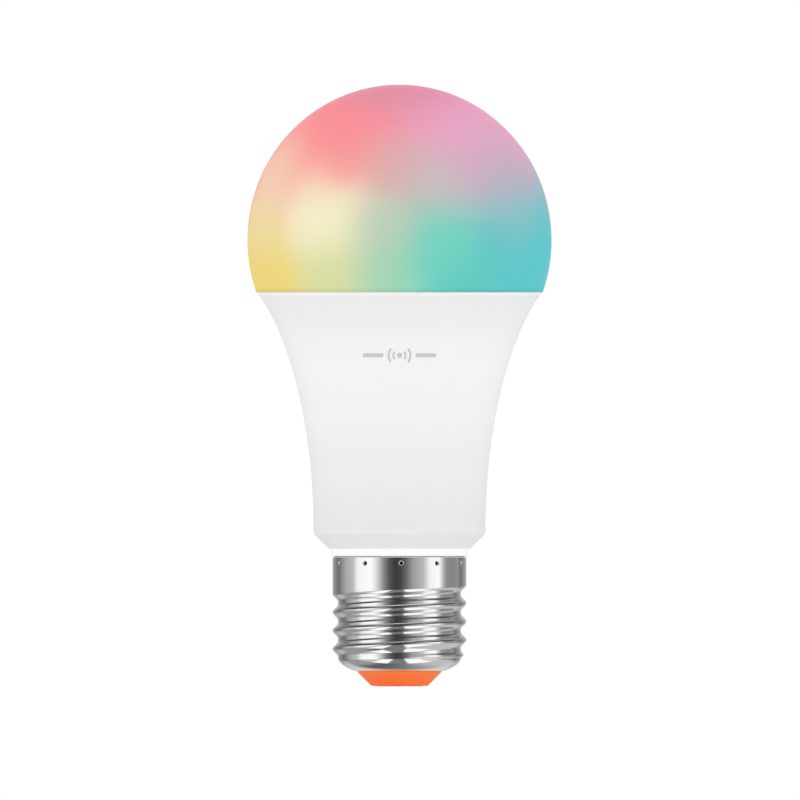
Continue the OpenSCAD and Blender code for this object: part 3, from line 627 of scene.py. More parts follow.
# Plain ones: darker and lighter colour, roughness range, size of the clouds, grain, metal
PLAIN = {
    "silicone_seal": (grey(222), grey(236), (0.35, 0.5), 400.0, 0.02),
    "thermal_grease": (grey(206), grey(226), (0.45, 0.65), 160.0, 0.05),
    "led_case": (linear(238, 234, 218), linear(248, 245, 234), (0.25, 0.4), 900.0, 0.004),
    "phosphor_warm": (linear(246, 176, 52), linear(252, 200, 92), (0.2, 0.35), 1400.0, 0.01),
    "phosphor_cool": (linear(238, 214, 62), linear(248, 232, 110), (0.2, 0.35), 1400.0, 0.01),
    "black_plastic": (grey(34), grey(48), (0.42, 0.6), 600.0, 0.01),
    "pin_gold": ((0.80, 0.60, 0.26), (0.90, 0.70, 0.34), (0.2, 0.34), 500.0, 0.004, 1.0),
    "solder": ((0.66, 0.66, 0.68), (0.82, 0.82, 0.83), (0.16, 0.3), 600.0, 0.006, 1.0),
    "shield_tin": ((0.66, 0.66, 0.65), (0.78, 0.78, 0.77), (0.24, 0.4), 300.0, 0.008, 1.0),
    "antenna_copper": ((0.72, 0.46, 0.22), (0.86, 0.60, 0.32), (0.22, 0.36), 500.0, 0.0, 1.0),
    "capacitor_bung": (grey(36), grey(52), (0.6, 0.8), 500.0, 0.02),
    "tinned_wire": ((0.68, 0.68, 0.70), (0.80, 0.80, 0.81), (0.2, 0.34), 500.0, 0.004, 1.0),
    "film_yellow": (linear(222, 178, 34), linear(236, 196, 62), (0.3, 0.42), 260.0, 0.01),
    "varistor_blue": (linear(34, 92, 168), linear(52, 116, 190), (0.16, 0.3), 420.0, 0.02),
    "ceramic_tan": (linear(172, 142, 104), linear(190, 162, 124), (0.35, 0.5), 700.0, 0.006),
    "ferrite": (grey(56), grey(78), (0.4, 0.6), 500.0, 0.02),
    "enamelled_copper": ((0.62, 0.25, 0.10), (0.78, 0.36, 0.16), (0.16, 0.28), 500.0, 0.0, 0.85),
    "tape_yellow": (linear(234, 196, 52), linear(244, 212, 84), (0.18, 0.3), 240.0, 0.006),
    "wire_blue": (linear(48, 96, 176), linear(66, 118, 196), (0.3, 0.44), 400.0, 0.008),
    "bare_copper": ((0.76, 0.40, 0.24), (0.90, 0.54, 0.34), (0.2, 0.36), 600.0, 0.004, 1.0),
}
SLOTS = {part["node"]: part["material_slot"] for part in frame["record"]["subparts"]}
made = {}


def finish_of(slot):
    """The slot's finish, made once."""
    if slot not in made:
        made[slot] = FINISHES[slot]() if slot in FINISHES else cloudy(slot, *PLAIN[slot])
    return made[slot]


# ---------------------------------------------------------------- the outside

def flare(inset, start, end, steps):
    """The body's flare, from waist to rim, as (radius, height): a cubic Bezier curve
    taken in by a wall."""
    t = np.linspace(start, end, steps)[:, None]
    p = [np.array(q) for q in FLARE_CURVE]
    u = 1 - t
    curve = u ** 3 * p[0] + 3 * u * u * t * p[1] + 3 * u * t * t * p[2] + t ** 3 * p[3]
    return [(r - inset, z) for r, z in curve]


def flare_r(z):
    """Radius of the flare at a height, read off the curve."""
    curve = np.array(flare(0, 0, 1, 400))
    return np.interp(z, curve[:, 1], curve[:, 0])


def make_dome():
    """Ellipse of revolution with a wall, a small round edge and the skirt that snaps into
    the body."""

    def ellipse(a, b, from_z, n):
        t = np.linspace(np.arcsin((from_z - EQUATOR_Z) / b), np.pi / 2, n)
        return [(a * np.cos(s), EQUATOR_Z + b * np.sin(s)) for s in t[:-1]] + [(0, EQUATOR_Z + b)]

    outer = ellipse(GLOBE_R, DOME_RISE, SPLIT_Z + 0.25, 96)
    inner = ellipse(GLOBE_R - DOME_WALL, DOME_RISE - DOME_WALL, SPLIT_Z + 1.5, 48)
    edge_r = outer[0][0]
    profile = [(0, inner[-1][1])] + inner[-2::-1] + [(SKIRT_IN_R, SPLIT_Z + 0.6),
               (SKIRT_IN_R, SKIRT_Z), (SKIRT_R - 0.3, SKIRT_Z), (SKIRT_R, SKIRT_Z + 0.3),
               (SKIRT_R, SEAT_Z), (edge_r - 0.32, SEAT_Z), (edge_r - 0.12, SPLIT_Z + 0.02),
               (edge_r - 0.04, SPLIT_Z + 0.1)] + outer
    return surface("diffuser_dome", turned(profile, 256), "opal_dome", "diffuser")


def make_body():
    """The white body: neck, collar, chamfer, waist and flare, with a seat for the dome."""
    step_r = SKIRT_R + 0.05
    low = flare(BODY_WALL, 0, 0.895, 30)
    corner = np.array(CHAMFER_TOP)
    outside = flare(0, 0, 1, 72)
    profile = ([(NECK_IN_R, NECK_FLOOR_Z), (NECK_IN_R, NECK_Z), (NECK_OUT_R, NECK_Z),
                (NECK_OUT_R, NECK_STEP_Z[0]), (NECK_BAND_R, NECK_STEP_Z[1]),
                (NECK_BAND_R, COLLAR_FOOT_Z), (COLLAR_R - 0.08, COLLAR_FOOT_Z),
                (COLLAR_R, COLLAR_FOOT_Z + 0.08), (COLLAR_R, COLLAR_Z - 0.08),
                (COLLAR_R + 0.08, COLLAR_Z), (CHAMFER_FOOT_R - 0.12, COLLAR_Z),
                (CHAMFER_FOOT_R + 0.06, COLLAR_Z + 0.08), tuple(corner - (0.35, 0.35)),
                tuple(corner), tuple(corner + (0.24, 0.35)), tuple(corner + (0.33, 0.75))]
               + outside[:-1]
               + [(RIM_R - 0.05, SPLIT_Z - 0.1), (RIM_R - 0.12, SPLIT_Z - 0.04),
                  (RIM_R - 0.3, SEAT_Z), (step_r, SEAT_Z), (step_r, 75.0)] + low[::-1])
    return surface("housing_body", turned(profile, 256), "body_plastic", "housing",
                   wrap_rows=True)


def ease(t):
    t = np.clip(t, 0, 1)
    return t * t * (3 - 2 * t)


def shell_radius(z, angle):
    """Outer radius of the metal shell: a helical wave, narrower at its crests, that grows
    out of the root at the bottom and runs out into the plain band at the top."""
    turn = (angle - THREAD_BACK) % TAU
    s = (z - THREAD_Z0 - PITCH * THREAD_BACK / TAU) / PITCH - turn / TAU
    wave = ((1 + np.cos(TAU * s)) / 2) ** CREST_POWER
    depth = CREST_R - ROOT_R
    kept = ease((TAU - turn) / FADE_ANGLE)
    low = ROOT_R + depth * wave * ease((z - CURL_Z) / START_FADE)
    groove = np.where(s < LAST_CREST, depth * (1 - wave) * kept, 0)
    drop = ((1 - kept) * ease((s - LAST_CREST + 1) * PITCH / CREST_TO_BAND)
            + kept * ease((s - LAST_CREST) * PITCH / CREST_TO_BAND))
    return np.where(s < LAST_CREST - 1, low, CREST_R - groove - (CREST_R - BAND_R) * drop)


def make_shell():
    """The rolled shell, outside and inside in one sheet. Columns crowd at the punched
    crimps by angle = a - k sin(n a) / n, and a crimp is a round dent of bell section."""
    columns = 528
    a = np.arange(columns) * TAU / columns
    front = CRIMP_TURN - np.pi / 2
    angle = front + a - 0.62 * np.sin(CRIMPS * a) / CRIMPS
    t = np.linspace(0, 1, 14)
    curl_r = LIP_R + (ROOT_R - LIP_R) * np.sin(t * np.pi / 2) ** (2 / CURL_POWER)
    curl_z = CURL_Z - (CURL_Z - LIP_Z) * np.cos(t * np.pi / 2) ** (2 / CURL_POWER)
    thread_z = np.arange(CURL_Z + 0.16, THREAD_TOP_Z, 0.165)
    band_z = np.array([22.2, 22.9, 23.4])
    crimp_z = np.arange(23.55, 25.15, 0.1)
    top_z = np.array([BAND_TOP_Z - 0.3, BAND_TOP_Z - 0.12])
    wall_z = np.concatenate([thread_z, band_z, crimp_z, top_z])[:, None]
    wall_r = shell_radius(wall_z, angle)
    nearest = np.round((angle - front) / (TAU / CRIMPS)) * TAU / CRIMPS + front
    away = np.hypot((angle - nearest) * BAND_R, wall_z - CRIMP_Z)
    wall_r = wall_r - CRIMP_DEPTH * np.exp(-(away / CRIMP_R) ** 4)

    def ring(radius, height):
        radius = radius * np.ones(columns)
        return np.stack([radius * np.cos(angle), radius * np.sin(angle),
                         height * np.ones(columns)], axis=-1)

    outside = [ring(r, z) for r, z in zip(curl_r, curl_z)]
    outside += [ring(r, z[0]) for r, z in zip(wall_r, wall_z)]
    edge = [ring(BAND_R - 0.03, BAND_TOP_Z - 0.04), ring(BAND_R - 0.10, BAND_TOP_Z),
            ring(BAND_R - SHELL_WALL + 0.05, BAND_TOP_Z)]
    inner_z = np.arange(BAND_TOP_Z - 0.1, CURL_Z, -0.55)
    inside = [ring(shell_radius(z, angle) - SHELL_WALL, z) for z in inner_z]
    for r, z in list(zip(curl_r, curl_z))[::-2]:
        inside.append(ring(r - 0.12, z + SHELL_WALL * 0.8))
    rows = np.array(outside + edge + inside)
    return surface("screw_shell_sheet", rows, "shell_nickel", "screw_shell", wrap_rows=True)


def make_insulator():
    """Orange plug: a cone below the shell, a rim behind its rounded edge and a boss."""
    corners = [(1.0, 0.55), (4.7, 0.55), (4.7, 0.1), (5.55, 0.1), (8.3, 2.85), (8.3, 3.45),
               (9.1, 3.5), (9.9, 3.9), (10.3, 4.25), (10.3, 5.2), (4.6, 5.2), (3.2, 6.0),
               (2.8, 9.2), (1.0, 9.2)]
    radii = [0, 0, 0.06, 0.22, 0.2, 0.1, 0, 0, 0.2, 0.2, 0.2, 0.2, 0.2, 0.1]
    return surface("cap_insulator_plug", turned(rounded(corners, radii), 160),
                   "orange_insulator", "cap_insulator", wrap_rows=True)


def make_contact():
    """Pressed contact: a slightly hollowed disc with a rolled edge and a nail shank."""
    profile = [(0, 0.05), (1.4, 0.05), (2.4, 0.02), (3.3, 0.0), (4.2, 0.0)]
    profile += arc((4.38, 0.2), 0.2, -90, 0, 5) + [(4.58, 0.42), (1.2, 0.42), (0.98, 0.5),
                                                  (0.98, 7.4), (0.5, 8.4), (0, 8.4)]
    return surface("centre_contact_nail", turned(profile, 96), "contact_tin",
                   "centre_contact")


def make_mark():
    """Generic printed mark: a dot with two arcs of waves on each side and a plain bar
    beyond them, laid on the front of the body. Each stroke is a strip along a path with a
    width, and y comes from the body's radius at that height."""
    centre_z, ink = 65.3, 0.02
    strokes = []
    for side in (-1, 1):
        for radius in (1.2, 2.15):
            a = np.radians(np.linspace(-38, 38, 17))
            path = np.stack([side * radius * np.cos(a), radius * np.sin(a)], -1)
            normal = path / radius
            strokes.append((path, normal, 0.4))
        x = np.linspace(3.2, 7.2, 9) * side
        strokes.append((np.stack([x, 0 * x], -1), np.tile([0.0, 1.0], (9, 1)), 0.75))
    points, faces = [], []
    for path, normal, width in strokes:
        first = len(points)
        edges = np.stack([path - normal * width / 2, path + normal * width / 2], 1)
        for pair in edges:
            for x, up in pair:
                z = centre_z + up
                r = flare_r(z) + ink
                points.append((x, -np.sqrt(r * r - x * x), z))
        for i in range(len(path) - 1):
            k = first + 2 * i
            faces.append([k, k + 2, k + 3, k + 1])
    first = len(points)
    a = np.arange(20) * TAU / 20
    for x, up in np.stack([0.52 * np.cos(a), 0.52 * np.sin(a)], -1):
        r = flare_r(centre_z + up) + ink
        points.append((x, -np.sqrt(r * r - x * x), centre_z + up))
    faces.append(list(range(first, first + 20)))
    return solid("front_mark", points, faces, "body_plastic", finish=mark_ink())


make_dome()
make_body()
make_shell()
make_insulator()
make_contact()
make_mark()

# ---------------------------------------------------------------- the inside

CORNERS = np.array([(x, y, z) for x in (-1, 1) for y in (-1, 1) for z in (-1, 1)]) / 2
SIDES = np.array(((0, 1, 3, 2), (4, 6, 7, 5), (0, 4, 5, 1), (2, 3, 7, 6), (0, 2, 6, 4),
                  (1, 5, 7, 3)))


def rounded_over(piece, width, angle=30):
    """Finishes a piece: its edges sharper than the angle get a round of a width in mm."""
    piece.data.polygons.foreach_set("use_smooth", np.full(len(piece.data.polygons), True))
    piece.data.set_sharp_from_angle(angle=np.radians(angle))
    bevel = piece.modifiers.new("round", "BEVEL")
    bevel.width, bevel.segments = width * MM, 2
    bevel.limit_method, bevel.angle_limit = "ANGLE", np.radians(angle)
    bevel.harden_normals = True
    return piece


def bricks(name, blocks, edge, slot):
    """Blocks with round edges, each (centre, size) in mm: a block's corners are its centre
    plus its size times the corners of the unit cube."""
    blocks = np.array(blocks, float)
    points = (blocks[:, 0, None] + blocks[:, 1, None] * CORNERS).reshape(-1, 3)
    faces = (SIDES + 8 * np.arange(len(blocks))[:, None, None]).reshape(-1, 4)
    return rounded_over(solid(name, points, faces, slot), edge)


def softened(node, width):
    """A merged copy of a CAD node, with its sharp edges rounded over, stands for it."""
    shape = bmesh.new()
    shape.from_mesh(frame["nodes"][node].data)
    bmesh.ops.remove_doubles(shape, verts=shape.verts, dist=1e-6)
    bmesh.ops.dissolve_limit(shape, angle_limit=np.radians(1), verts=shape.verts,
                             edges=shape.edges)
    mesh = bpy.data.meshes.new(node + "_shape")
    shape.to_mesh(mesh)
    shape.free()
    for layer in [a for a in mesh.attributes if a.name == "custom_normal"]:
        mesh.attributes.remove(layer)
    mesh.materials.clear()
    return rounded_over(shown(node + "_shape", mesh, SLOTS[node], node), width)


# The CAD pieces that only need their edges rounded, with the round's width in mm
for node, width in (("led_pin_header", 0.12), ("radio_spacer", 0.1), ("radio_shield", 0.25),
                    ("film_capacitor", 0.35), ("transformer_core", 0.25),
                    ("transformer_bobbin", 0.08), ("transformer_pins", 0.1),
                    ("bridge_rectifier", 0.12), ("power_chip", 0.12), ("dimmer_chip", 0.12),
                    ("diodes", 0.15), ("chip_resistors", 0.04), ("chip_capacitors", 0.08),
                    ("white_led_cases", 0.06), ("colour_led_cases", 0.08),
                    ("led_board_screws", 0.06), ("led_pins", 0.06), ("radio_pins", 0.05),
                    ("chip_leads", 0.03), ("fuse_sleeve", 0.05)):
    softened(node, width)


def framed(points, origin, *axes):
    """Puts local points in place: origin plus x, y and z times the three axes."""
    return np.array(origin, float) + np.asarray(points, float) @ np.array(axes, float)


def mark(piece, name, values):
    """Stores one number for each point of the mesh, for the piece's finish to read."""
    layer = piece.data.attributes.new(name, "FLOAT", "POINT")
    layer.data.foreach_set("value", np.asarray(values, np.float32))


def spots(piece):
    """The mesh's points in mm."""
    flat = np.empty(len(piece.data.vertices) * 3)
    piece.data.vertices.foreach_get("co", flat)
    return flat.reshape(-1, 3) / MM


def electrolytic(node, radius, length, origin, across, up, along):
    """A can in its sleeve, turned: rubber end open, a crimp groove, straight side, the
    sleeve's lip rolled over the closed end, and there three grooves of a vent, each a
    dent of bell section along a line from the middle."""
    r, h = radius, length
    top = [(r - 1.5 + 0.65 * i / 7, h - 0.1) for i in range(8)][::-1]
    profile = ([(r - 0.55, 0.15), (r - 0.5, 0.02), (r - 0.2, 0.05), (r - 0.02, 0.3), (r, 0.5),
                (r, 1.2)] + [(r - 0.35 * np.sin(t) ** 2, 1.2 + 1.1 * t / np.pi)
                             for t in np.linspace(0.3, np.pi, 9)]
               + [(r, h - 0.6)] + arc((r - 0.5, h - 0.5), 0.5, 0, 90, 7)
               + [(r - 0.75, h), (r - 0.8, h - 0.1)] + top
               + [(x, h - 0.1) for x in np.linspace(r - 1.6, 0, 18)])
    grid = turned([(0, 0.3), (r - 0.6, 0.3)] + profile, 120)
    x, y = grid[..., 0], grid[..., 1]
    for k in range(3):
        c, s = np.cos(TAU * k / 3), np.sin(TAU * k / 3)
        off, out = x * s - y * c, x * c + y * s
        dent = 0.14 * np.exp(-(off / 0.16) ** 2) * (out > -0.1) * (np.hypot(x, y) < r - 1.1)
        grid[..., 2] -= np.where(grid[..., 2] > h - 0.2, dent, 0)
    piece = surface(node + "_can", framed(grid, origin, across, up, along),
                    "capacitor_sleeve", node)
    local = spots(piece) - np.array(origin, float)
    lx, ly, lz = (local @ np.array(v, float) for v in (across, up, along))
    mark(piece, "bare", (lz > h - 0.3) & (np.hypot(lx, ly) < r - 0.78))
    mark(piece, "stripe", (np.abs(np.arctan2(ly, lx)) < 0.42) & (lz > 1.0) & (lz < h - 0.2))


electrolytic("input_capacitor", 4, 12, (0, -2.6, 26.6), (1, 0, 0), (0, -1, 0), (0, 0, -1))
electrolytic("output_capacitor", 4, 10, (-11, 2.0, 61.5), (1, 0, 0), (0, 0, 1), (0, -1, 0))


def choke_winding():
    """Enamelled turns on the drum, in two layers: the radius is a row of half rounds along
    the axis, shifted by the angle, so that the rows are one helix."""
    low, high = (np.array(c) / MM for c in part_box("filter_choke_winding"))
    middle = (low + high) / 2
    length, turns, wire_r = high[1] - low[1], 17, 0.19
    z = np.linspace(0, length, turns * 8 + 1)[:, None]
    a = np.arange(72) * TAU / 72
    phase = z / length * turns - a / TAU
    r = 3.26 + wire_r * np.sqrt(np.abs(np.sin(np.pi * phase)))
    rows = np.stack([r * np.cos(a), r * np.sin(a), z * np.ones_like(a)], -1)
    inner = turned([(1.85, length), (1.85, 0)], 72)
    grid = framed(np.concatenate([rows, inner]), (middle[0], high[1], middle[2]), (1, 0, 0),
                  (0, 0, 1), (0, -1, 0))
    return surface("filter_choke_turns", grid, "enamelled_copper", "filter_choke_winding",
                   wrap_rows=True)


def transformer_winding():
    """Turns round the bobbin: a rounded oblong carried up z, its distance from the middle
    swelling and shrinking once for each turn."""
    low, high = (np.array(c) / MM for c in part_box("transformer_winding"))
    middle, half = (low + high) / 2, (high - low) / 2
    turns, wire_r, corner = 15, 0.16, 1.2
    a = np.arange(96) * TAU / 96

    def oblong(grow, half_x, half_y):
        c, s = np.cos(a), np.sin(a)
        x = np.sign(c) * (half_x - corner) + c * (corner + grow)
        y = np.sign(s) * (half_y - corner) + s * (corner + grow)
        return x, y

    rows = []
    for z in np.linspace(low[2], high[2], turns * 6 + 1):
        phase = (z - low[2]) / (high[2] - low[2]) * turns
        swell = wire_r * (np.sqrt(np.abs(np.sin(np.pi * phase))) - 1)
        x, y = oblong(swell, half[0], half[1])
        rows.append(np.stack([middle[0] + x, middle[1] + y, z * np.ones_like(a)], -1))
    for z in (high[2], low[2]):
        x, y = oblong(-0.6, 2.6, 4.3)
        rows.append(np.stack([middle[0] + x, middle[1] + y, z * np.ones_like(a)], -1))
    return surface("transformer_turns", np.array(rows), "enamelled_copper",
                   "transformer_winding", wrap_rows=True)


choke_winding()
transformer_winding()


def spline(route, steps):
    """Catmull-Rom curve through given points."""
    p = np.array(route, float)
    before, after = np.vstack([p[:1], p[:-1]]), np.vstack([p[1:], p[-1:]])
    beyond = np.vstack([after[1:], p[-1:]])
    t = (np.arange(steps) / steps)[None, :, None]
    a, b, c, d = (v[:-1, None, :] for v in (before, p, after, beyond))
    curve = 0.5 * (2 * b + (c - a) * t + (2 * a - 5 * b + 4 * c - d) * t ** 2
                   + (3 * b - a - 3 * c + d) * t ** 3)
    return np.vstack([curve.reshape(-1, 3), p[-1:]])


def tube(name, path, radius, slot, *nodes, bore=0.0):
    """A round wire, or a sleeve if it has a bore, swept along a path. The cross direction
    is carried from point to point, each time made square to the path again."""
    path = np.asarray(path, float)
    ahead = np.gradient(path, axis=0)
    ahead /= np.linalg.norm(ahead, axis=1)[:, None]
    side = np.cross(ahead[0], (0.31, 0.64, 0.70))
    sides = 16
    a = np.arange(sides) * TAU / sides
    rings = []
    for at, t in zip(path, ahead):
        side = side - t * (side @ t)
        side /= np.linalg.norm(side)
        spoke = np.outer(np.cos(a), side) + np.outer(np.sin(a), np.cross(t, side))
        rings.append((at, spoke))
    outer = [at + radius * spoke for at, spoke in rings]
    if bore:
        inner = [at + bore * spoke for at, spoke in rings[::-1]]
        return surface(name, np.array(outer + inner), slot, *nodes, wrap_rows=True)
    first, last = (at * np.ones((sides, 1)) for at in (path[0], path[-1]))
    return surface(name, np.array([first] + outer + [last]), slot, *nodes)


FUSE_X, FUSE_Y, FUSE_FOOT_Z = 6.0, -4.6, 13.4
BOARD_BACK_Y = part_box("driver_board")[1].y / MM
LIVE_ROUTE = ((FUSE_X, FUSE_Y, FUSE_FOOT_Z - 0.1), (FUSE_X, FUSE_Y, 12.4), (4.6, -3.4, 11),
              (2.2, -1.4, 10.3), (0.6, -0.3, 9.9), (0, 0, 9.2), (0, 0, 8.5))
INSULATED_ROUTE = ((-6.6, BOARD_BACK_Y - 1.8, 19), (-6.7, 1.6, 18.4), (-7.0, 0.9, 16.5),
                   (-7.9, 0.3, 13.5), (-8.8, 0, 11))
NEUTRAL_ROUTE = (((-6.6, BOARD_BACK_Y + 0.8, 19), (-6.6, BOARD_BACK_Y - 0.5, 19))
                 + INSULATED_ROUTE + ((-9.6, 0, 8.9), (-10.5, 0, 8.35), (-11.3, 0, 8.9),
                                      (-11.36, 0, 10.5), (-11.36, 0, 15)))
tube("live_lead", spline(LIVE_ROUTE, 6), 0.35, "bare_copper", "live_wire")
tube("neutral_lead", spline(NEUTRAL_ROUTE, 6), 0.35, "bare_copper", "neutral_wire")
tube("neutral_sleeve", spline(INSULATED_ROUTE, 8), 0.65, "wire_blue", "neutral_insulation",
     bore=0.45)


def dipped_disc():
    """The varistor's epoxy drop: a lens turned about X, thicker round its rim by a slow
    wave, on two leads that run back through the board."""
    r, half = 3.6, 1.6
    t = np.linspace(0, np.pi, 40)
    profile = np.stack([r * np.sin(t) ** 0.55, -half * np.cos(t) * (1 - 0.12 * np.cos(t) ** 8)],
                       -1)
    profile[0, 0] = profile[-1, 0] = 0
    grid = framed(turned(profile, 96), (-10.2, -2.2, 38.5), (0, 1, 0), (0, 0, 1), (1, 0, 0))
    return surface("varistor_disc", grid, "varistor_blue", "varistor")


dipped_disc()
# Straight leads through the board: x, z, y of the near end, how far they come out behind,
# radius and number of rings
for name, x, z, near, out, radius, rings in (
        ("varistor_lead_1", -10.2, 36.0, -0.6, 0.9, 0.3, 12),
        ("varistor_lead_2", -10.2, 41.0, -0.6, 0.9, 0.3, 12),
        ("choke_lead_1", -2.1, 38.0, 2.3, 0.8, 0.28, 6),
        ("choke_lead_2", 2.1, 38.0, 2.3, 0.8, 0.28, 6)):
    y = np.linspace(near, BOARD_BACK_Y + out, rings)
    tube(name, np.stack([np.full(rings, x), y, np.full(rings, z)], -1), radius, "tinned_wire")


def board_solder():
    """Solder joints on the driver board's back: each a cone with a hollow side, as the
    radius falls from the pad to the lead by a quarter circle, round every lead."""
    leads = [((i - 2) * 2.54, 64.32, 1.0) for i in range(5)]
    leads += [((i - 2.5) * 2.0, 61.3, 0.85) for i in range(6)]
    leads += [(s * 1.75, 29.4, 0.9) for s in (-1, 1)]
    leads += [(-11 + s * 1.75, 61.5, 0.9) for s in (-1, 1)]
    leads += [(s * 5.0, 51 + t * 7.6, 0.85) for s in (-1, -0.5, 0.5, 1) for t in (-1, 1)]
    leads += [(-10.2, 36.0, 0.9), (-10.2, 41.0, 0.9), (9.6, 34.9, 0.9), (9.6, 41.9, 0.9)]
    leads += [(6.0, 25.5, 0.9), (-6.6, 19.0, 1.0), (-2.1, 38.0, 0.85), (2.1, 38.0, 0.85)]
    a = np.arange(20) * TAU / 20
    t = np.linspace(0, np.pi / 2, 6)
    points, faces = [], []
    for x, z, r in leads:
        radius = np.concatenate([[0], r - (r - 0.34) * np.sin(t), [0]])
        height = np.concatenate([[0.0], 0.72 * (1 - np.cos(t)), [0.72]])
        ring = np.stack([x + radius[:, None] * np.cos(a),
                         BOARD_BACK_Y + height[:, None] * np.ones(20),
                         z - radius[:, None] * np.sin(a)], -1)
        first = len(points) * 20
        for row in range(len(ring) - 1):
            k = first + row * 20 + np.arange(20)
            n = first + row * 20 + (np.arange(20) + 1) % 20
            faces.append(np.stack([k, n, n + 20, k + 20], -1))
        points.extend(ring)
    return solid("driver_board_solder", np.array(points).reshape(-1, 3), np.vstack(faces),
                 "solder")


board_solder()


def chip_ends():
    """Tinned ends on the chip parts: a slightly larger block over each end."""
    resistors = [(-10.5 + 2.2 * (i % 3), 48 + 3 * (i // 3)) for i in range(6)]
    resistors += [(11.6, 38 + 2.4 * i) for i in range(3)]
    capacitors = [(-10 + 2.6 * i, 54.4) for i in range(4)]
    blocks = []
    for spots_xz, size in ((resistors, (1.25, 0.5, 2.0)), (capacitors, (1.6, 1.0, 2.4))):
        for x, z in spots_xz:
            y = BOARD_BACK_Y + size[1] / 2
            for end in (0.2, size[2] - 0.2):
                blocks.append(((x, y + 0.03, z + end), (size[0] + 0.06, size[1] + 0.06, 0.46)))
    return bricks("chip_ends", blocks, 0.06, "tinned_wire")


chip_ends()

rails = [((side * 9.1, y, 22.75), (2.4, 1.0, 9.5))
         for side in (-1, 1) for y in (2.45, BOARD_BACK_Y + 0.55)]
bricks("board_rails", rails, 0.12, "body_plastic")

ring_low, ring_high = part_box("seal_ring")
bead = [(26.8 + 0.34 * np.cos(t), (ring_low.z + ring_high.z) / MM / 2 + 0.17 * np.sin(t))
        for t in np.linspace(0, TAU, 20)[:-1]]
surface("seal_bead", turned(bead, 192), "silicone_seal", "seal_ring", wrap_rows=True)


def phosphor_fill(node, first):
    """What fills the wells of the white LEDs: on a square grid the surface sags to the
    middle by the product of two parabolas, closed by straight sides and a flat floor."""
    low, high = (np.array(c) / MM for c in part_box(node))
    half_x, half_y = 1.04, 1.39
    n = 9
    u = np.linspace(-1, 1, n)
    points, faces = [], []
    cell = np.arange(n * n).reshape(n, n)
    quads = np.stack([cell[:-1, :-1], cell[1:, :-1], cell[1:, 1:], cell[:-1, 1:]],
                     -1).reshape(-1, 4)
    edge = np.concatenate([cell[:-1, 0], cell[-1, :-1], cell[:0:-1, -1], cell[0, :0:-1]])
    for i in range(first, WHITE_LEDS, 2):
        a = np.pi / WHITE_LEDS + TAU * i / WHITE_LEDS
        x, y = np.meshgrid(u * half_x, u * half_y, indexing="ij")
        sag = 0.1 * (1 - (x / half_x) ** 2) * (1 - (y / half_y) ** 2)
        for z in (high[2] - sag, np.full_like(x, low[2])):
            local = np.stack([x + WHITE_RING_R, y, z], -1).reshape(-1, 3)
            points.append(np.stack([local[:, 0] * np.cos(a) - local[:, 1] * np.sin(a),
                                    local[:, 0] * np.sin(a) + local[:, 1] * np.cos(a),
                                    local[:, 2]], -1))
        base = (len(points) - 2) * n * n
        faces += (quads + base).tolist() + (quads[:, ::-1] + base + n * n).tolist()
        after = np.roll(edge, -1)
        faces += (np.stack([edge, edge + n * n, after + n * n, after], -1) + base).tolist()
    return solid(node + "_fill", np.vstack(points), faces, SLOTS[node], node)


phosphor_fill("warm_phosphor", 0)
phosphor_fill("cool_phosphor", 1)

LENS_R, LENS_EDGE = 1.98, 0.12
lens_foot, lens_top = (c.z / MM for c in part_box("colour_led_lenses"))
lens_profile = [(0, lens_foot), (LENS_R, lens_foot), (LENS_R, lens_top - LENS_EDGE)]
lens_profile += [(LENS_R * np.cos(t), lens_top - LENS_EDGE + LENS_EDGE * np.sin(t))
                 for t in np.linspace(0.15, np.pi / 2, 8)[:-1]] + [(0, lens_top)]
for i in range(COLOUR_LEDS):
    a = np.radians(30) + TAU * i / COLOUR_LEDS
    grid = turned(lens_profile, 48) + (COLOUR_RING_R * np.cos(a), COLOUR_RING_R * np.sin(a), 0)
    surface(f"colour_lens_{i + 1}", grid, "clear_resin", "colour_led_lenses")

# The other CAD nodes keep their shape and take their slot's finish
for node, shape in frame["nodes"].items():
    shape.data.materials.clear()
    shape.data.materials.append(finish_of(SLOTS[node]).material)

# ---------------------------------------------------------------- stage, light and camera

# What the polished shell sees round it. A stop of LEVEL is a direction in degrees to the
# right of the front and the screen brightness of the wall there. A stop of BELOW, BEHIND or
# ABOVE is a place across the floor in front, the floor behind or the ceiling, from -1 to 1,
# and its brightness.
LEVEL = ((-180, 215), (-156, 150), (-130, 106), (-104, 172), (-88, 188), (-77, 245), (-50, 255),
         (-40, 218), (-28, 140), (-18, 86), (-8, 60), (2, 68), (12, 105), (24, 158), (42, 186),
         (54, 245), (72, 255), (82, 182), (89, 140), (104, 134), (120, 145), (132, 112), (156, 160),
         (180, 215))
BELOW = ((-0.7, 186), (-0.53, 192), (-0.49, 255), (-0.22, 255), (-0.19, 135), (-0.1, 124),
         (0.12, 118), (0.18, 255), (0.6, 255), (0.63, 203), (0.7, 198))
BEHIND = ((-0.45, 150), (-0.3, 100), (-0.2, 92), (-0.07, 105), (0.04, 117), (0.12, 135),
          (0.2, 150), (0.3, 172), (0.43, 190))
ABOVE = ((-0.66, 70), (-0.56, 132), (-0.42, 130), (-0.15, 62), (0.0, 60), (0.4, 104),
         (0.57, 160), (0.66, 78))


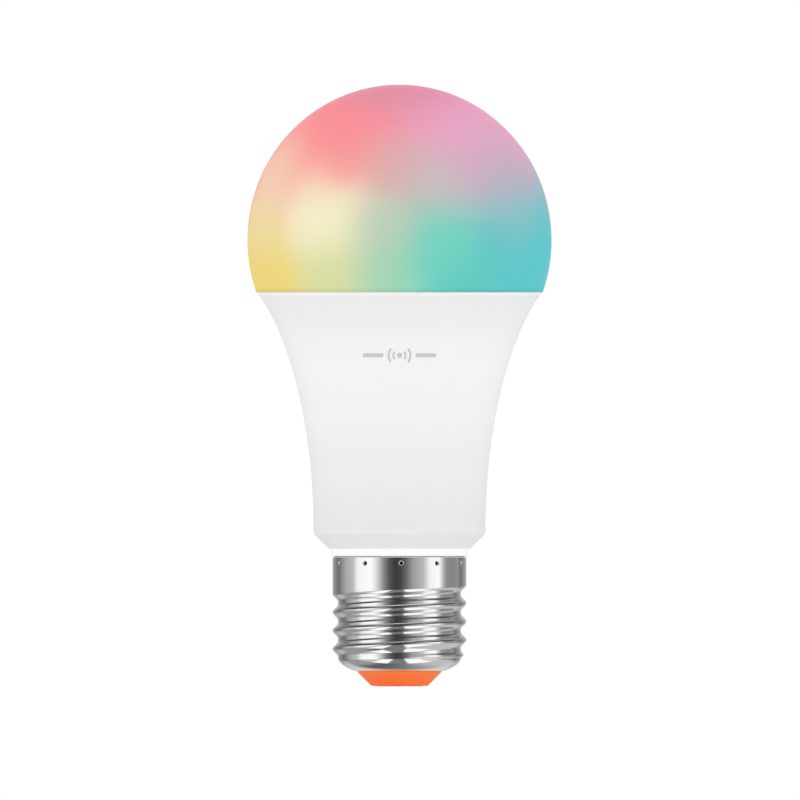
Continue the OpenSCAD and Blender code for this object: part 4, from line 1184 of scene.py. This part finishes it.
def studio():
    """White room: the camera sees plain white, matt surfaces get even light, and glossy
    ones see upright panels all round, a brighter floor and a darker ceiling."""
    world = bpy.data.worlds.new("studio")
    bpy.context.scene.world = world
    world.cycles.sampling_method = "NONE"
    w = Tree(world)
    x, y, z = w.parts(w.add("ShaderNodeTexCoord", out="Generated"))
    turn = w.math("ARCTAN2", x, -y) / TAU + 0.5
    across = x * 0.5 + 0.5

    def panels(where, stops, span):
        return w.ramp(where, [(a / span + 0.5, grey(v)) for a, v in stops], smooth=False)

    walls = panels(turn, LEVEL, 360)
    below, behind, above = (panels(across, stops, 2) for stops in (BELOW, BEHIND, ABOVE))
    low, high = np.sin(np.radians((16, 34)))
    behind = w.mix(w.step(y, 0.6, 0.88), behind, grey(214))
    below = w.mix(w.step(y, -0.02, 0.08), below, behind)
    glossy = w.mix(w.step(z, low, high), walls, above)
    glossy = w.mix(w.step(-z, low, high), glossy, below)
    even = w.mix(w.step(z, -0.2, 1.0), (0.93,) * 3, (1.02,) * 3)
    path = w.add("ShaderNodeLightPath", out=None)
    seen = w.mix(Val(w, path.outputs["Is Glossy Ray"]), even, glossy)
    backdrop = w.mix(w.step(-z, 0.002, 0.01), (1.0,) * 3, grey(239))
    seen = w.mix(Val(w, path.outputs["Is Camera Ray"]), seen, backdrop)
    w.add("ShaderNodeOutputWorld", None,
          w.add("ShaderNodeBackground", None, seen, 1.0), out=None)


def floor():
    """Pale floor under the lamp, large enough to reach past every view."""
    mesh = bpy.data.meshes.new("floor")
    half, z = 6.0, -0.0002
    mesh.from_pydata([(-half, -half, z), (half, -half, z), (half, half, z), (-half, half, z)],
                     [], [(0, 1, 2, 3)])
    ground = added("floor", mesh)
    f = Finish("pale_floor", Roughness=0.7, Specular_IOR_Level=0.2)
    f.set(Base_Color=f.mix(f.noise(f.coords, 8.0), (0.93,) * 3, (0.95,) * 3))
    mesh.materials.append(f.material)
    ground.visible_glossy = False


def camera():
    """Level view from the front, without perspective, 158 mm high."""
    lens = bpy.data.cameras.new("camera")
    lens.type = "ORTHO"
    lens.ortho_scale = 0.1578
    lens.clip_end = 20.0
    eye = added("camera", lens)
    eye.location = (0.0001, -1.0, 0.0565)
    eye.rotation_euler = (np.pi / 2, 0, 0)
    bpy.context.scene.camera = eye


studio()
floor()
camera()
bpy.context.scene.view_settings.view_transform = "Standard"
